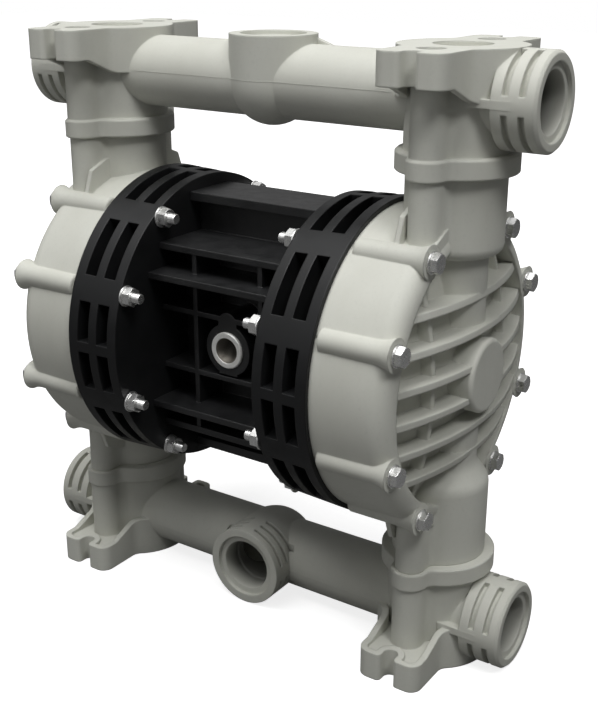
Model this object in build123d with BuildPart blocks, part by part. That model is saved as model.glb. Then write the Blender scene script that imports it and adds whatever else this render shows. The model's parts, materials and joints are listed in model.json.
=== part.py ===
"""Air operated double diaphragm pump with clamped plastic manifolds.

The frame: the shaft runs along X, the air inlet looks towards -Y, +Z is up, and the feet stand on z = 0.
The right-hand half is modelled and the left-hand half mirrors it about the plane x = 0.
"""
from build123d import *
from math import atan2, cos, degrees, radians, sin, sqrt
import os

os.makedirs("parts", exist_ok=True)

# Main sizes of the pump, in millimetres
axis_height = 225.0
column_x = 151.0
port_reach = 218.0
pipe_height = 33.2
joint_height = 82.5

# Clearances
slip = 0.05
seal_gap = 0.3
bolt_play = 0.3

# Manifold pipe, port collars and grooves
pipe_radius = 26.9
thread_radius = 20.8
thread_depth = 20.0
flow_radius = 19.0
mouth_radius = 25.8
mouth_depth = 3.0
collar_radius = 32.8
collar_length = 31.0
collar_edge = 2.0
groove_width = 4.2
groove_depth = 4.0
groove_pitch = 11.6
groove_setback = 10.0
groove_land_angle = 11.0
web_height = 6.0
centre_boss_radius = 32.5
centre_port_reach = 45.0
centre_thread_depth = 16.0
centre_groove_width = 3.0
centre_groove_pitch = 8.0
centre_groove_setback = 7.5
centre_recess_radius = 24.0
centre_recess_depth = 3.0

# Feet and end blocks
foot_round_radius = 44.0
foot_ear_width = 50.0
foot_reach = 76.0
foot_ear_height = 22.0
foot_floor_height = 19.5
foot_wall = 5.0
foot_slot_radius = 5.5
foot_slot_place = 69.0
skirt_low_y = 60.0
skirt_high_y = 33.0
foot_corner = 9.0
slot_corner = 3.5
ear_blend = 9.0
face_recess_radius = 20.0
face_recess_depth = 4.0

# Columns and their joints
manifold_column_radius = 37.0
band_radius = 42.5
band_height = 14.0
band_edge = 1.4
tie_offset = 44.0
tie_boss_radius = 12.0
tie_boss_blend = 8.0
tie_lobe_radius = 14.0
tie_screw_radius = 4.0
tie_head_radius = 6.5
tie_head_height = 8.0
tie_pocket_radius = 9.5
tie_pocket_depth = 12.0
tie_grip = 26.0
insert_wall = 2.2
insert_length = 18.0

# Pumping chambers
chamber_joint_x = 107.0
chamber_radius = 114.5
chamber_draft = 1.0
face_x = 165.4
face_round = 15.0
face_opening_radius = 99.0
dome_radius = 260.0
crest_x = 182.8
rib_depth = 16.0
chamber_wall = 6.5
cavity_radius = 91.0
cavity_dome_radius = 80.0
rib_pitch = 23.5
rib_count = 6
rib_thickness = 6.4
rib_taper = 1.5
post_offset = 55.0
post_thickness = 5.0
post_drop = 8.0
pad_radius = 27.0
pad_x = 184.0
pad_edge = 3.0
neck_radius = 25.0
chamber_column_radius = 35.0
chamber_column_low = 86.0
column_round = 8.0
shoulder_low = 84.0
shoulder_high = 70.0
shoulder_round = 12.0
column_boss_radius = 11.0
column_boss_low = 95.0
fin_thickness = 4.0
fin_x = 138.5
fin_top = 125.0
fin_shoulder = (52.0, 118.0)
fin_foot = (62.0, 91.0)
strut_thickness = 11.0
strut_radius = 4.5
strut_end = (34.0, 105.0)

# Bolts round the chambers
bolt_circle_radius = 110.0
bolt_angles = (22.3, 57.6)
bolt_radius = 4.0
bolt_tip_x = 47.0
hex_width = 13.0
head_height = 5.3
nut_height = 6.5
washer_radius = 8.0
washer_height = 1.6
bolt_boss_radius = 8.8
bolt_boss_flare = 12.0
bolt_boss_flare_length = 12.5
bolt_boss_start = 110.0
bolt_boss_round = 2.0

# Air covers
cover_inner_x = 62.0
cover_inner_radius = 116.0
cover_outer_radius = 118.0
cover_wall = 8.0
air_room_radius = 84.0
pocket_floor_radius = 99.0
pocket_rows = (70.0, 88.0)
pocket_width = 10.5
pocket_spans = ((2.0, 17.2), (27.0, 50.0), (60.5, 88.0))

# Centre block
core_half_depth = 32.0
spine_half_depth = 12.0
spine_height = 100.0
top_plate_height = 106.0
top_plate_thickness = 7.0
top_plate_half_depth = 24.0
upper_shelf_height = 74.0
upper_shelf_half_depth = 62.0
lower_shelf_height = 54.0
lower_shelf_half_depth = 76.0
shelf_thickness = 5.0
grid_half_depth = 61.0
grid_rib = 4.0
grid_post_x = 30.0
grid_bar_height = 23.5
inlet_boss_radius = 20.0
pilot_boss_radius = 8.5
pilot_boss_height = 20.5
inlet_insert_radius = 14.1
inlet_thread_radius = 9.3
inlet_insert_length = 22.0
inlet_insert_proud = 2.0
inlet_bore_depth = 46.0
inlet_bore_radius = 7.5
airway_radius = 4.0
airway_inset = 6.0
airway_height = 60.0
airway_x = 32.0

# Shaft, plates and diaphragms
shaft_radius = 11.0
stroke = 9.0
diaphragm_thickness = 4.0
diaphragm_seat = 5.0
bead_radius = 100.0
bead_land = 88.0
roll_depth = 8.0
plate_radius = 44.0
inner_plate_thickness = 8.0
outer_plate_thickness = 12.0
plate_crown_radius = 125.0
plate_edge = 3.0
stud_radius = 6.0
stud_length = 24.0
bush_radius = 16.0
bush_length = 18.0
shaft_seal_length = 6.0

# Air valve and its pilot rod
valve_y = -8.0
valve_z = 38.0
sleeve_radius = 16.0
sleeve_half_length = 50.0
spool_radius = 11.0
spool_waist_radius = 7.0
spool_travel = 6.0
land_length = 10.0
valve_port_pitch = 16.0
pilot_z = -38.0
pilot_radius = 4.0
pilot_travel = 4.0
pilot_bush_radius = 7.0
pilot_bush_length = 12.0

# Screws that hold the air covers to the centre block
cover_screw_places = ((24.0, 56.0), (-24.0, 60.0), (24.0, -56.0), (-24.0, -56.0))
cover_screw_radius = 3.0
cover_screw_head_radius = 5.0
cover_screw_head_height = 5.0
cover_screw_length = 24.0

# Check valves
ball_radius = 21.0
ball_lift = 9.0
seat_radius = 29.5
seat_thickness = 8.0
seat_hole_radius = 15.5
seat_lip_radius = 18.5
seat_ring_radius = 24.5
seat_ring_section = 1.5
guide_radius = 27.0
guide_wall = 2.6
guide_fin = 3.0
guide_top = 3.0
passage_radius = 18.0
riser_radius = 24.0

# Places that follow from the sizes above
shaft_plane = Plane(origin=(0, 0, axis_height), x_dir=(1, 0, 0), z_dir=(0, -1, 0))
shaft_line = Axis((0, 0, axis_height), (1, 0, 0))
pipe_plane = Plane(origin=(0, 0, pipe_height), x_dir=(1, 0, 0), z_dir=(0, -1, 0))
pipe_line = Axis((0, 0, pipe_height), (1, 0, 0))
column_plane = Plane(origin=(column_x, 0, 0), x_dir=(1, 0, 0), z_dir=(0, -1, 0))
column_line = Axis((column_x, 0, 0), (0, 0, 1))
mid_plane = Plane.XY.offset(axis_height)
upper_joint = 2 * axis_height - joint_height
upper_pipe = 2 * axis_height - pipe_height
band_low = joint_height - band_height
drum_x = chamber_joint_x
bolt_places = [
    (side * bolt_circle_radius * cos(radians(angle)), lift * bolt_circle_radius * sin(radians(angle)))
    for angle in bolt_angles
    for side in (-1, 1)
    for lift in (-1, 1)
]
tie_places = [(column_x, -tie_offset), (column_x, tie_offset)]
ball_rise = sqrt((ball_radius + seal_gap) ** 2 - seat_lip_radius**2)
lower_ball_height = joint_height + ball_rise
upper_ball_height = upper_joint + ball_rise
guide_height = ball_rise + ball_radius + ball_lift + seal_gap + guide_top
diaphragm_x = chamber_joint_x - diaphragm_seat / 2
inner_plate_x = diaphragm_x - diaphragm_thickness / 2 - inner_plate_thickness
outer_plate_x = diaphragm_x + diaphragm_thickness / 2
air_room_x = cover_inner_x + cover_wall
pilot_reach = inner_plate_x - stroke - seal_gap + pilot_travel


def across(x):
    """Plane square to the shaft at x: local x is world Y and local y is height over the shaft axis."""
    return Plane(origin=(x, 0, axis_height), x_dir=(0, 1, 0), z_dir=(1, 0, 0))


def dome_x(apex, radius, sphere=dome_radius):
    """Distance along X of the domed face with this apex, at a radius from the shaft axis."""
    return apex - sphere + sqrt(sphere**2 - radius**2)


def ring_sector(inner_radius, outer_radius, start, end):
    """Face of a ring between two radii and two angles."""
    with BuildSketch(mode=Mode.PRIVATE) as sector:
        with BuildLine():
            inner = CenterArc((0, 0), inner_radius, start, end - start)
            outer = CenterArc((0, 0), outer_radius, start, end - start)
            Line(inner @ 0, outer @ 0)
            Line(inner @ 1, outer @ 1)
        make_face()
    return sector.sketch


def quadrant_spans(start, end):
    """The same span of angles in each quadrant, mirrored about both axes."""
    return [(start, end), (180 - end, 180 - start), (180 + start, 180 + end), (360 - end, 360 - start)]


def column_plan(radius, boss_radius):
    """Face of a round column with two tie bosses, joined to it by flat cheeks and blends."""
    with BuildSketch(mode=Mode.PRIVATE) as plan:
        with Locations((column_x, 0)):
            Circle(radius)
            Rectangle(2 * boss_radius, 2 * tie_offset)
        with Locations(*tie_places):
            Circle(boss_radius)
        corner_y = sqrt(radius**2 - boss_radius**2)
        fillet(plan.vertices().filter_by(lambda v: abs(abs(v.Y) - corner_y) < slip), radius=tie_boss_blend)
    return plan.sketch


# Foot or end block: a lobed plate with open bolt slots, its skirt rising to the pipe axis
with BuildPart() as foot:
    with BuildSketch(Plane.XY) as foot_plan:
        with Locations((column_x, 0)):
            Circle(foot_round_radius)
            Rectangle(foot_ear_width, 2 * foot_reach)
        slot_centres = [(column_x, foot_slot_place), (column_x, -foot_slot_place)]
        with Locations(*slot_centres):
            Circle(foot_slot_radius, mode=Mode.SUBTRACT)
        slot_run = foot_reach - foot_slot_place
        with Locations(
            (column_x, foot_slot_place + slot_run / 2), (column_x, -foot_slot_place - slot_run / 2)
        ):
            Rectangle(2 * foot_slot_radius, slot_run, mode=Mode.SUBTRACT)
        ear_corners = foot_plan.vertices().filter_by(
            lambda v: abs(abs(v.Y) - foot_reach) < slip and abs(v.X - column_x) > foot_ear_width / 2 - slip
        )
        fillet(ear_corners, radius=foot_corner)
        mouth_corners = foot_plan.vertices().filter_by(
            lambda v: abs(abs(v.Y) - foot_reach) < slip
            and abs(abs(v.X - column_x) - foot_slot_radius) < slip
        )
        fillet(mouth_corners, radius=slot_corner)
        blend_y = sqrt(foot_round_radius**2 - (foot_ear_width / 2) ** 2)
        blend_corners = foot_plan.vertices().filter_by(lambda v: abs(abs(v.Y) - blend_y) < slip)
        fillet(blend_corners, radius=ear_blend)
    extrude(amount=pipe_height)
    with BuildSketch(Plane.YZ.offset(column_x)):
        for side in (-1, 1):
            with BuildLine():
                Polyline(
                    (side * skirt_high_y, pipe_height),
                    (side * skirt_low_y, foot_ear_height),
                    (side * (foot_reach + foot_wall), foot_ear_height),
                    (side * (foot_reach + foot_wall), pipe_height + foot_wall),
                    (side * skirt_high_y, pipe_height + foot_wall),
                    close=True,
                )
            make_face()
    extrude(amount=foot_round_radius + foot_wall, both=True, mode=Mode.SUBTRACT)
    with BuildSketch(Plane.XY.offset(foot_floor_height)):
        add(foot_plan.sketch)
        offset(amount=-foot_wall)
        with Locations((column_x, 0)):
            Rectangle(2 * foot_round_radius, 2 * (skirt_high_y - foot_wall), mode=Mode.SUBTRACT)
    extrude(amount=pipe_height, mode=Mode.SUBTRACT)

# Joint band: a round flange with two lobes round the tie screws
with BuildPart() as joint_band:
    with BuildSketch(Plane.XY.offset(band_low)) as band_plan:
        with Locations((column_x, 0)):
            Circle(band_radius)
        with Locations(*tie_places):
            Circle(tie_lobe_radius)
        fillet(band_plan.vertices(), radius=tie_lobe_radius / 2)
    extrude(amount=band_height)
    chamfer(joint_band.edges().group_by(Axis.Z)[0], length=band_edge)
    chamfer(joint_band.edges().group_by(Axis.Z)[-1], length=band_edge / 2)

# One end of a manifold without its bores: foot, column, tie bosses, band, pipe and grooved collar
with BuildPart() as manifold_end:
    add(foot.part)
    with BuildSketch(Plane.XY.offset(foot_floor_height)):
        add(column_plan(manifold_column_radius, tie_boss_radius))
    extrude(amount=band_low - foot_floor_height)
    add(joint_band.part)
    with BuildSketch(pipe_plane):
        with BuildLine():
            Polyline(
                (0, 0),
                (0, pipe_radius),
                (port_reach - collar_length, pipe_radius),
                (port_reach - collar_length, collar_radius),
                (port_reach - collar_edge, collar_radius),
                (port_reach, collar_radius - collar_edge),
                (port_reach, 0),
                close=True,
            )
        make_face()
    revolve(axis=pipe_line)
    with Locations((port_reach - collar_length - collar_edge, 0, pipe_height)):
        Box(collar_length, 2 * collar_radius, web_height, align=(Align.CENTER, Align.CENTER, Align.CENTER))
    for number in range(2):
        groove_x = port_reach - groove_setback - number * groove_pitch
        with BuildSketch(
            Plane(origin=(groove_x, 0, pipe_height), x_dir=(0, 1, 0), z_dir=(1, 0, 0))
            .offset(-groove_width / 2)
        ):
            for start, end in quadrant_spans(groove_land_angle, 90 - groove_land_angle):
                add(ring_sector(collar_radius - groove_depth, collar_radius + groove_depth, start, end))
        extrude(amount=groove_width, mode=Mode.SUBTRACT)
    with BuildSketch(Plane.XY):
        with Locations((column_x, 0)):
            Circle(face_recess_radius)
    extrude(amount=face_recess_depth, mode=Mode.SUBTRACT)
    with Locations(*[Plane(origin=(x, y, 0), z_dir=(0, 0, -1)) for x, y in tie_places]):
        CounterBoreHole(
            radius=tie_screw_radius + bolt_play,
            counter_bore_radius=tie_pocket_radius,
            counter_bore_depth=tie_pocket_depth,
        )

# Threaded bore and mouth of the two end ports, cut from each manifold
with BuildPart() as pipe_bore:
    with BuildSketch(pipe_plane):
        with BuildLine():
            Polyline(
                (0, 0),
                (0, flow_radius),
                (port_reach - mouth_depth - thread_depth, flow_radius),
                (port_reach - mouth_depth - thread_depth, thread_radius),
                (port_reach - mouth_depth, thread_radius),
                (port_reach - mouth_depth, mouth_radius),
                (port_reach, mouth_radius),
                (port_reach, 0),
                close=True,
            )
        make_face()
    revolve(axis=pipe_line)
    mirror(about=Plane.YZ)

# Suction manifold: stands on the feet, its middle port looks forward
with BuildPart() as bottom_manifold:
    add(manifold_end.part)
    mirror(manifold_end.part, about=Plane.YZ)
    with Locations((0, 0, pipe_height)):
        Sphere(centre_boss_radius)
    with BuildSketch(Plane(origin=(0, 0, pipe_height), x_dir=(1, 0, 0), z_dir=(0, -1, 0))):
        Circle(centre_boss_radius)
    extrude(amount=centre_port_reach)
    for number in range(3):
        groove_y = centre_port_reach - centre_groove_setback - number * centre_groove_pitch
        with BuildSketch(
            Plane(origin=(0, -groove_y, pipe_height), x_dir=(1, 0, 0), z_dir=(0, -1, 0))
            .offset(-centre_groove_width / 2)
        ):
            for start, end in quadrant_spans(groove_land_angle, 90 - groove_land_angle):
                groove_sector = ring_sector(
                    centre_boss_radius - groove_depth, centre_boss_radius + groove_depth, start, end
                )
                add(groove_sector)
        extrude(amount=centre_groove_width, mode=Mode.SUBTRACT)
    with Locations(Plane(origin=(0, -centre_port_reach, pipe_height), z_dir=(0, -1, 0))):
        CounterBoreHole(
            radius=thread_radius,
            counter_bore_radius=mouth_radius,
            counter_bore_depth=mouth_depth,
            depth=mouth_depth + centre_thread_depth,
        )
        Hole(radius=flow_radius, depth=centre_port_reach)
    add(pipe_bore.part, mode=Mode.SUBTRACT)
    for side in (-1, 1):
        with BuildSketch(Plane.XY.offset(pipe_height)):
            with Locations((side * column_x, 0)):
                Circle(riser_radius)
        extrude(amount=joint_height - pipe_height, mode=Mode.SUBTRACT)
        with BuildSketch(Plane.XY.offset(joint_height)):
            with Locations((side * column_x, 0)):
                Circle(seat_radius + slip)
        extrude(amount=-seat_thickness, mode=Mode.SUBTRACT)

# Discharge manifold: the same ends turned over, its middle port moulded shut and facing up
with BuildPart() as top_manifold:
    mirror(manifold_end.part, about=mid_plane)
    mirror(about=Plane.YZ)
    with Locations((0, 0, upper_pipe)):
        Sphere(centre_boss_radius)
    with BuildSketch(Plane.XY.offset(upper_pipe)):
        Circle(centre_boss_radius)
    extrude(amount=pipe_height)
    with BuildSketch(Plane.XY.offset(2 * axis_height)):
        Circle(centre_recess_radius)
    extrude(amount=-centre_recess_depth, mode=Mode.SUBTRACT)
    with BuildSketch(Plane.XZ.offset(-centre_recess_radius / 2)):
        with BuildLine():
            Polyline(
                (centre_boss_radius - foot_wall, 2 * axis_height - collar_edge),
                (centre_boss_radius + foot_ear_height, upper_pipe + pipe_radius - foot_wall),
                (centre_boss_radius - foot_wall, upper_pipe + pipe_radius - foot_wall),
                close=True,
            )
        make_face()
    extrude(amount=fin_thickness / 2, both=True)
    add(mirror(pipe_bore.part, about=mid_plane, mode=Mode.PRIVATE), mode=Mode.SUBTRACT)
    for side in (-1, 1):
        with BuildSketch(Plane.XY.offset(upper_joint)):
            with Locations((side * column_x, 0)):
                Circle(guide_radius)
        extrude(amount=upper_pipe - upper_joint, mode=Mode.SUBTRACT)

# Ridge round one chamber bolt, with a square inner end and a flared seat for the head
with BuildPart() as bolt_boss:
    with BuildSketch(Plane.XZ) as boss_profile:
        with BuildLine():
            flare = (face_x - bolt_boss_flare_length, bolt_boss_radius)
            Polyline((face_x, 0), (bolt_boss_start, 0), (bolt_boss_start, bolt_boss_radius), flare)
            TangentArc(flare, (face_x, bolt_boss_flare), tangent=(1, 0))
            Line((face_x, bolt_boss_flare), (face_x, 0))
        make_face()
        inner_corner = boss_profile.vertices().sort_by_distance((bolt_boss_start, bolt_boss_radius, 0))[0]
        fillet(inner_corner, radius=bolt_boss_round)
    revolve(axis=Axis.X)

# Everything under the domed crest of the chamber face, used to trim the ribs
with BuildPart() as crest_dome:
    with BuildSketch(shaft_plane):
        with BuildLine():
            half = face_opening_radius / 2
            base_x = dome_x(crest_x - rib_depth, face_opening_radius) - chamber_wall / 2
            Line((base_x, 0), (base_x, face_opening_radius))
            Line((base_x, face_opening_radius), (dome_x(crest_x, face_opening_radius), face_opening_radius))
            ThreePointArc(
                (dome_x(crest_x, face_opening_radius), face_opening_radius),
                (dome_x(crest_x, half), half),
                (crest_x, 0),
            )
            Line((crest_x, 0), (base_x, 0))
        make_face()
    revolve(axis=shaft_line)

# Level ribs on the chamber face, tapered for the mould
with BuildPart() as face_ribs:
    with BuildSketch(across(base_x)):
        with GridLocations(0, rib_pitch, 1, rib_count):
            Rectangle(2 * face_opening_radius + rib_thickness, rib_thickness)
    extrude(amount=crest_x - base_x, taper=rib_taper)
    add(crest_dome.part, mode=Mode.INTERSECT)

# Two upright posts whose crest runs below the crest of the ribs
with BuildPart() as face_posts:
    with BuildSketch(across(base_x)):
        with Locations((-post_offset, 0), (post_offset, 0)):
            Rectangle(post_thickness, 2 * face_opening_radius)
    extrude(amount=crest_x - base_x, taper=rib_taper)
    add(crest_dome.part.moved(Location((-post_drop, 0, 0))), mode=Mode.INTERSECT)

# Round pad in the middle of the chamber face
with BuildPart() as face_pad:
    with BuildSketch(across(base_x)):
        Circle(pad_radius)
    extrude(amount=pad_x - base_x)
    fillet(face_pad.edges().group_by(Axis.X)[-1], radius=pad_edge)

# Right-hand pumping chamber
with BuildPart() as right_chamber:
    with BuildSketch(shaft_plane) as drum_profile:
        with BuildLine():
            floor_x = crest_x - rib_depth
            edge = (dome_x(floor_x, face_opening_radius), face_opening_radius)
            Polyline(
                (drum_x, 0),
                (drum_x, chamber_radius),
                (face_x, chamber_radius - chamber_draft),
                (face_x, face_opening_radius),
                edge,
            )
            ThreePointArc(edge, (dome_x(floor_x, half), half), (floor_x, 0))
            Line((floor_x, 0), (drum_x, 0))
        make_face()
        outer_corner = drum_profile.vertices().sort_by_distance((face_x, chamber_radius, 0))[0]
        fillet(outer_corner, radius=face_round - chamber_draft)
    revolve(axis=shaft_line)
    # Each ridge is turned so that the profile it was revolved from lies towards the shaft
    with Locations(
        *[Location((0, y, axis_height + z), (90 + degrees(atan2(z, y)), 0, 0)) for y, z in bolt_places]
    ):
        add(bolt_boss.part)
    # Necks that carry the liquid between the chamber and its columns
    for low, high in ((rib_pitch * 1.5, chamber_column_low + column_round), (-shoulder_low, -rib_pitch * 1.5)):
        with BuildSketch(mid_plane.offset(low)):
            with Locations((column_x, 0)):
                Circle(neck_radius)
        extrude(amount=high - low)
    add(face_ribs.part)
    add(face_posts.part)
    add(face_pad.part)
    # Upper column with a rounded lower end
    with BuildSketch(column_plane) as upper_column_profile:
        with BuildLine():
            Polyline(
                (0, axis_height + chamber_column_low),
                (chamber_column_radius, axis_height + chamber_column_low),
                (chamber_column_radius, upper_joint),
                (0, upper_joint),
                close=True,
            )
        make_face()
        low_corner = upper_column_profile.vertices().sort_by_distance(
            (chamber_column_radius, axis_height + chamber_column_low, 0)
        )[0]
        fillet(low_corner, radius=column_round)
    revolve(axis=column_line)
    # Lower column with a sloping shoulder
    with BuildSketch(column_plane) as lower_column_profile:
        with BuildLine():
            Polyline(
                (0, joint_height),
                (chamber_column_radius, joint_height),
                (chamber_column_radius, axis_height - shoulder_low),
                (neck_radius, axis_height - shoulder_high),
                (neck_radius, axis_height - shoulder_high + shoulder_round),
                (0, axis_height - shoulder_high + shoulder_round),
                close=True,
            )
        make_face()
        for corner in (
            (chamber_column_radius, axis_height - shoulder_low, 0),
            (neck_radius, axis_height - shoulder_high, 0),
        ):
            fillet(lower_column_profile.vertices().sort_by_distance(corner)[0], radius=shoulder_round)
    revolve(axis=column_line)
    # Bosses that take the tie screws, with flat cheeks to the column
    for start, length in (
        (joint_height, axis_height - column_boss_low - joint_height),
        (axis_height + column_boss_low, upper_joint - axis_height - column_boss_low),
    ):
        with BuildSketch(Plane.XY.offset(start)):
            add(column_plan(chamber_column_radius, column_boss_radius))
        extrude(amount=length)
    # Thin fins between the drum and the tie bosses
    for side in (-1, 1):
        for lift in (-1, 1):
            with BuildSketch(across(fin_x - fin_thickness / 2)):
                with BuildLine():
                    Polyline(
                        (side * neck_radius, lift * cavity_radius),
                        (side * neck_radius, lift * fin_top),
                        (side * chamber_column_radius, lift * fin_top),
                        (side * fin_shoulder[0], lift * fin_shoulder[1]),
                        (side * fin_foot[0], lift * fin_foot[1]),
                        close=True,
                    )
                make_face()
            extrude(amount=fin_thickness)
    # Round-ended struts between the column and the bolt seats next to it
    strut_start = (
        bolt_circle_radius * cos(radians(bolt_angles[1])),
        bolt_circle_radius * sin(radians(bolt_angles[1])),
    )
    strut_run = (strut_end[0] - strut_start[0], strut_end[1] - strut_start[1])
    strut_length = sqrt(strut_run[0] ** 2 + strut_run[1] ** 2)
    strut_slope = degrees(atan2(-strut_run[1], -strut_run[0]))
    for side in (-1, 1):
        for lift in (-1, 1):
            with BuildSketch(across(face_x - washer_height - strut_thickness)):
                with Locations(
                    (side * (strut_start[0] + strut_run[0] / 2), lift * (strut_start[1] + strut_run[1] / 2))
                ):
                    SlotCenterToCenter(strut_length, 2 * strut_radius, rotation=side * lift * strut_slope)
            extrude(amount=strut_thickness)
    # Liquid room behind the diaphragm
    with BuildSketch(shaft_plane):
        with BuildLine():
            cavity_x = crest_x - rib_depth - chamber_wall
            knee = (dome_x(cavity_x, cavity_dome_radius), cavity_dome_radius)
            Line((drum_x, 0), (drum_x, cavity_radius))
            Line((drum_x, cavity_radius), (face_x - 2 * face_round, cavity_radius))
            Line((face_x - 2 * face_round, cavity_radius), knee)
            ThreePointArc(
                knee,
                (dome_x(cavity_x, cavity_dome_radius / 2), cavity_dome_radius / 2),
                (cavity_x, 0),
            )
            Line((cavity_x, 0), (drum_x, 0))
        make_face()
    revolve(axis=shaft_line, mode=Mode.SUBTRACT)
    # Liquid passages, the seat above and the ball room below
    passage_end = rib_pitch * 1.5 + chamber_wall
    for low, high, radius in (
        (axis_height + passage_end, upper_joint - seat_thickness, passage_radius),
        (axis_height + chamber_column_low + column_round, upper_joint, riser_radius),
        (upper_joint - seat_thickness, upper_joint, seat_radius + slip),
        (joint_height, axis_height - passage_end, passage_radius),
        (joint_height, joint_height + guide_height + slip, guide_radius),
    ):
        with BuildSketch(Plane.XY.offset(low)):
            with Locations((column_x, 0)):
                Circle(radius)
        extrude(amount=high - low, mode=Mode.SUBTRACT)
    # Bolt holes and the sockets of the threaded inserts
    with BuildSketch(across(drum_x)):
        with Locations(*bolt_places):
            Circle(bolt_radius + bolt_play)
    extrude(amount=face_x - drum_x, mode=Mode.SUBTRACT)
    with Locations(*[Plane(origin=(x, y, upper_joint)) for x, y in tie_places]):
        CounterBoreHole(
            radius=tie_screw_radius + bolt_play,
            counter_bore_radius=tie_screw_radius + insert_wall + slip,
            counter_bore_depth=insert_length,
            depth=tie_grip + tie_screw_radius,
        )
    with Locations(*[Plane(origin=(x, y, joint_height), z_dir=(0, 0, -1)) for x, y in tie_places]):
        CounterBoreHole(
            radius=tie_screw_radius + bolt_play,
            counter_bore_radius=tie_screw_radius + insert_wall + slip,
            counter_bore_depth=insert_length,
            depth=tie_grip + tie_screw_radius,
        )

with BuildPart() as left_chamber:
    mirror(right_chamber.part, about=Plane.YZ)

# Right-hand air cover: a dished ring whose rim carries two rows of pockets between the bolts
with BuildPart() as right_air_cover:
    with BuildSketch(shaft_plane):
        with BuildLine():
            Polyline(
                (cover_inner_x, 0),
                (cover_inner_x, cover_inner_radius),
                (chamber_joint_x, cover_outer_radius),
                (chamber_joint_x, bead_radius + seal_gap),
                (chamber_joint_x - diaphragm_seat, bead_radius + seal_gap),
                (chamber_joint_x - diaphragm_seat, air_room_radius),
                (air_room_x + cover_wall, air_room_radius),
                (air_room_x, air_room_radius - cover_wall),
                (air_room_x, 0),
                close=True,
            )
        make_face()
    revolve(axis=shaft_line)
    for row_x in pocket_rows:
        with BuildSketch(across(row_x)):
            for first, last in pocket_spans:
                for start, end in quadrant_spans(first, last):
                    add(ring_sector(pocket_floor_radius, cover_outer_radius + cover_wall, start, end))
        extrude(amount=pocket_width, mode=Mode.SUBTRACT)
    with BuildSketch(across(cover_inner_x)):
        with Locations(*bolt_places):
            Circle(bolt_radius + bolt_play)
    extrude(amount=chamber_joint_x - cover_inner_x, mode=Mode.SUBTRACT)
    with BuildSketch(across(cover_inner_x)):
        Circle(shaft_radius + seal_gap)
        with Locations((0, pilot_z)):
            Circle(pilot_bush_radius + slip)
        with Locations((valve_y, airway_height)):
            Circle(airway_radius)
        with Locations(*cover_screw_places):
            Circle(cover_screw_radius + seal_gap)
    extrude(amount=cover_wall, mode=Mode.SUBTRACT)
    with BuildSketch(across(cover_inner_x)):
        Circle(bush_radius + slip)
    extrude(amount=shaft_seal_length, mode=Mode.SUBTRACT)

with BuildPart() as left_air_cover:
    mirror(right_air_cover.part, about=Plane.YZ)

# Centre block: a cored spine with shelves, a rib grid front and back, and the air connections
with BuildPart() as centre_block:
    with BuildSketch(across(-cover_inner_x)):
        Rectangle(2 * core_half_depth, 2 * upper_shelf_height)
        Rectangle(2 * spine_half_depth, 2 * spine_height)
        for lift in (-1, 1):
            with Locations((0, lift * (top_plate_height - top_plate_thickness / 2))):
                Rectangle(2 * top_plate_half_depth, top_plate_thickness)
            with Locations((0, lift * (upper_shelf_height - shelf_thickness / 2))):
                Rectangle(2 * upper_shelf_half_depth, shelf_thickness)
            with Locations((0, lift * (lower_shelf_height - shelf_thickness / 2))):
                Rectangle(2 * lower_shelf_half_depth, shelf_thickness)
            with Locations((0, lift * grid_bar_height)):
                Rectangle(2 * grid_half_depth, grid_rib)
    extrude(amount=2 * cover_inner_x)
    with Locations((-grid_post_x, 0, axis_height), (grid_post_x, 0, axis_height)):
        Box(grid_rib, 2 * grid_half_depth, 2 * upper_shelf_height - shelf_thickness)
    for side in (-1, 1):
        with BuildSketch(Plane(origin=(0, 0, axis_height), x_dir=(1, 0, 0), z_dir=(0, side, 0))):
            Circle(inlet_boss_radius)
            with Locations((0, side * -pilot_boss_height)):
                Circle(pilot_boss_radius)
            Rectangle(2 * pilot_boss_radius, 2 * inlet_boss_radius)
        extrude(amount=grid_half_depth)
    # Threaded inserts, inlet at the front and exhaust at the back
    for side in (-1, 1):
        with Locations(Plane(origin=(0, side * grid_half_depth, axis_height), z_dir=(0, side, 0))):
            CounterBoreHole(
                radius=inlet_bore_radius,
                counter_bore_radius=inlet_insert_radius + slip,
                counter_bore_depth=inlet_insert_length - inlet_insert_proud,
                depth=inlet_bore_depth,
            )
    # Bores for the shaft, the bushes, the valve sleeve and the pilot rod
    with BuildSketch(across(-cover_inner_x)):
        Circle(shaft_radius + seal_gap)
        with Locations((valve_y, valve_z)):
            Circle(sleeve_radius + slip)
        with Locations((0, pilot_z)):
            Circle(pilot_radius + seal_gap)
    extrude(amount=2 * cover_inner_x, mode=Mode.SUBTRACT)
    for side in (-1, 1):
        with BuildSketch(across(side * cover_inner_x)):
            Circle(bush_radius + slip)
        extrude(amount=-side * bush_length, mode=Mode.SUBTRACT)
        with BuildSketch(across(side * cover_inner_x)):
            with Locations(*cover_screw_places):
                Circle(cover_screw_radius + slip)
        extrude(amount=-side * cover_screw_length, mode=Mode.SUBTRACT)
        # Airway from the valve to the air room on this side
        with BuildSketch(across(side * cover_inner_x)):
            with Locations((valve_y, airway_height)):
                Circle(airway_radius)
        extrude(amount=-side * (cover_inner_x - airway_x + airway_radius), mode=Mode.SUBTRACT)
        with BuildSketch(Plane.XY.offset(axis_height + valve_z)):
            with Locations((side * airway_x, valve_y)):
                Circle(airway_radius)
        extrude(amount=airway_height - valve_z, mode=Mode.SUBTRACT)
    # Passages between the valve and the inlet and exhaust threads
    for side in (-1, 1):
        with BuildSketch(Plane.XY.offset(axis_height)):
            with Locations((0, side * (grid_half_depth - inlet_bore_depth + airway_inset))):
                Circle(airway_radius)
        extrude(amount=valve_z, mode=Mode.SUBTRACT)

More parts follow.
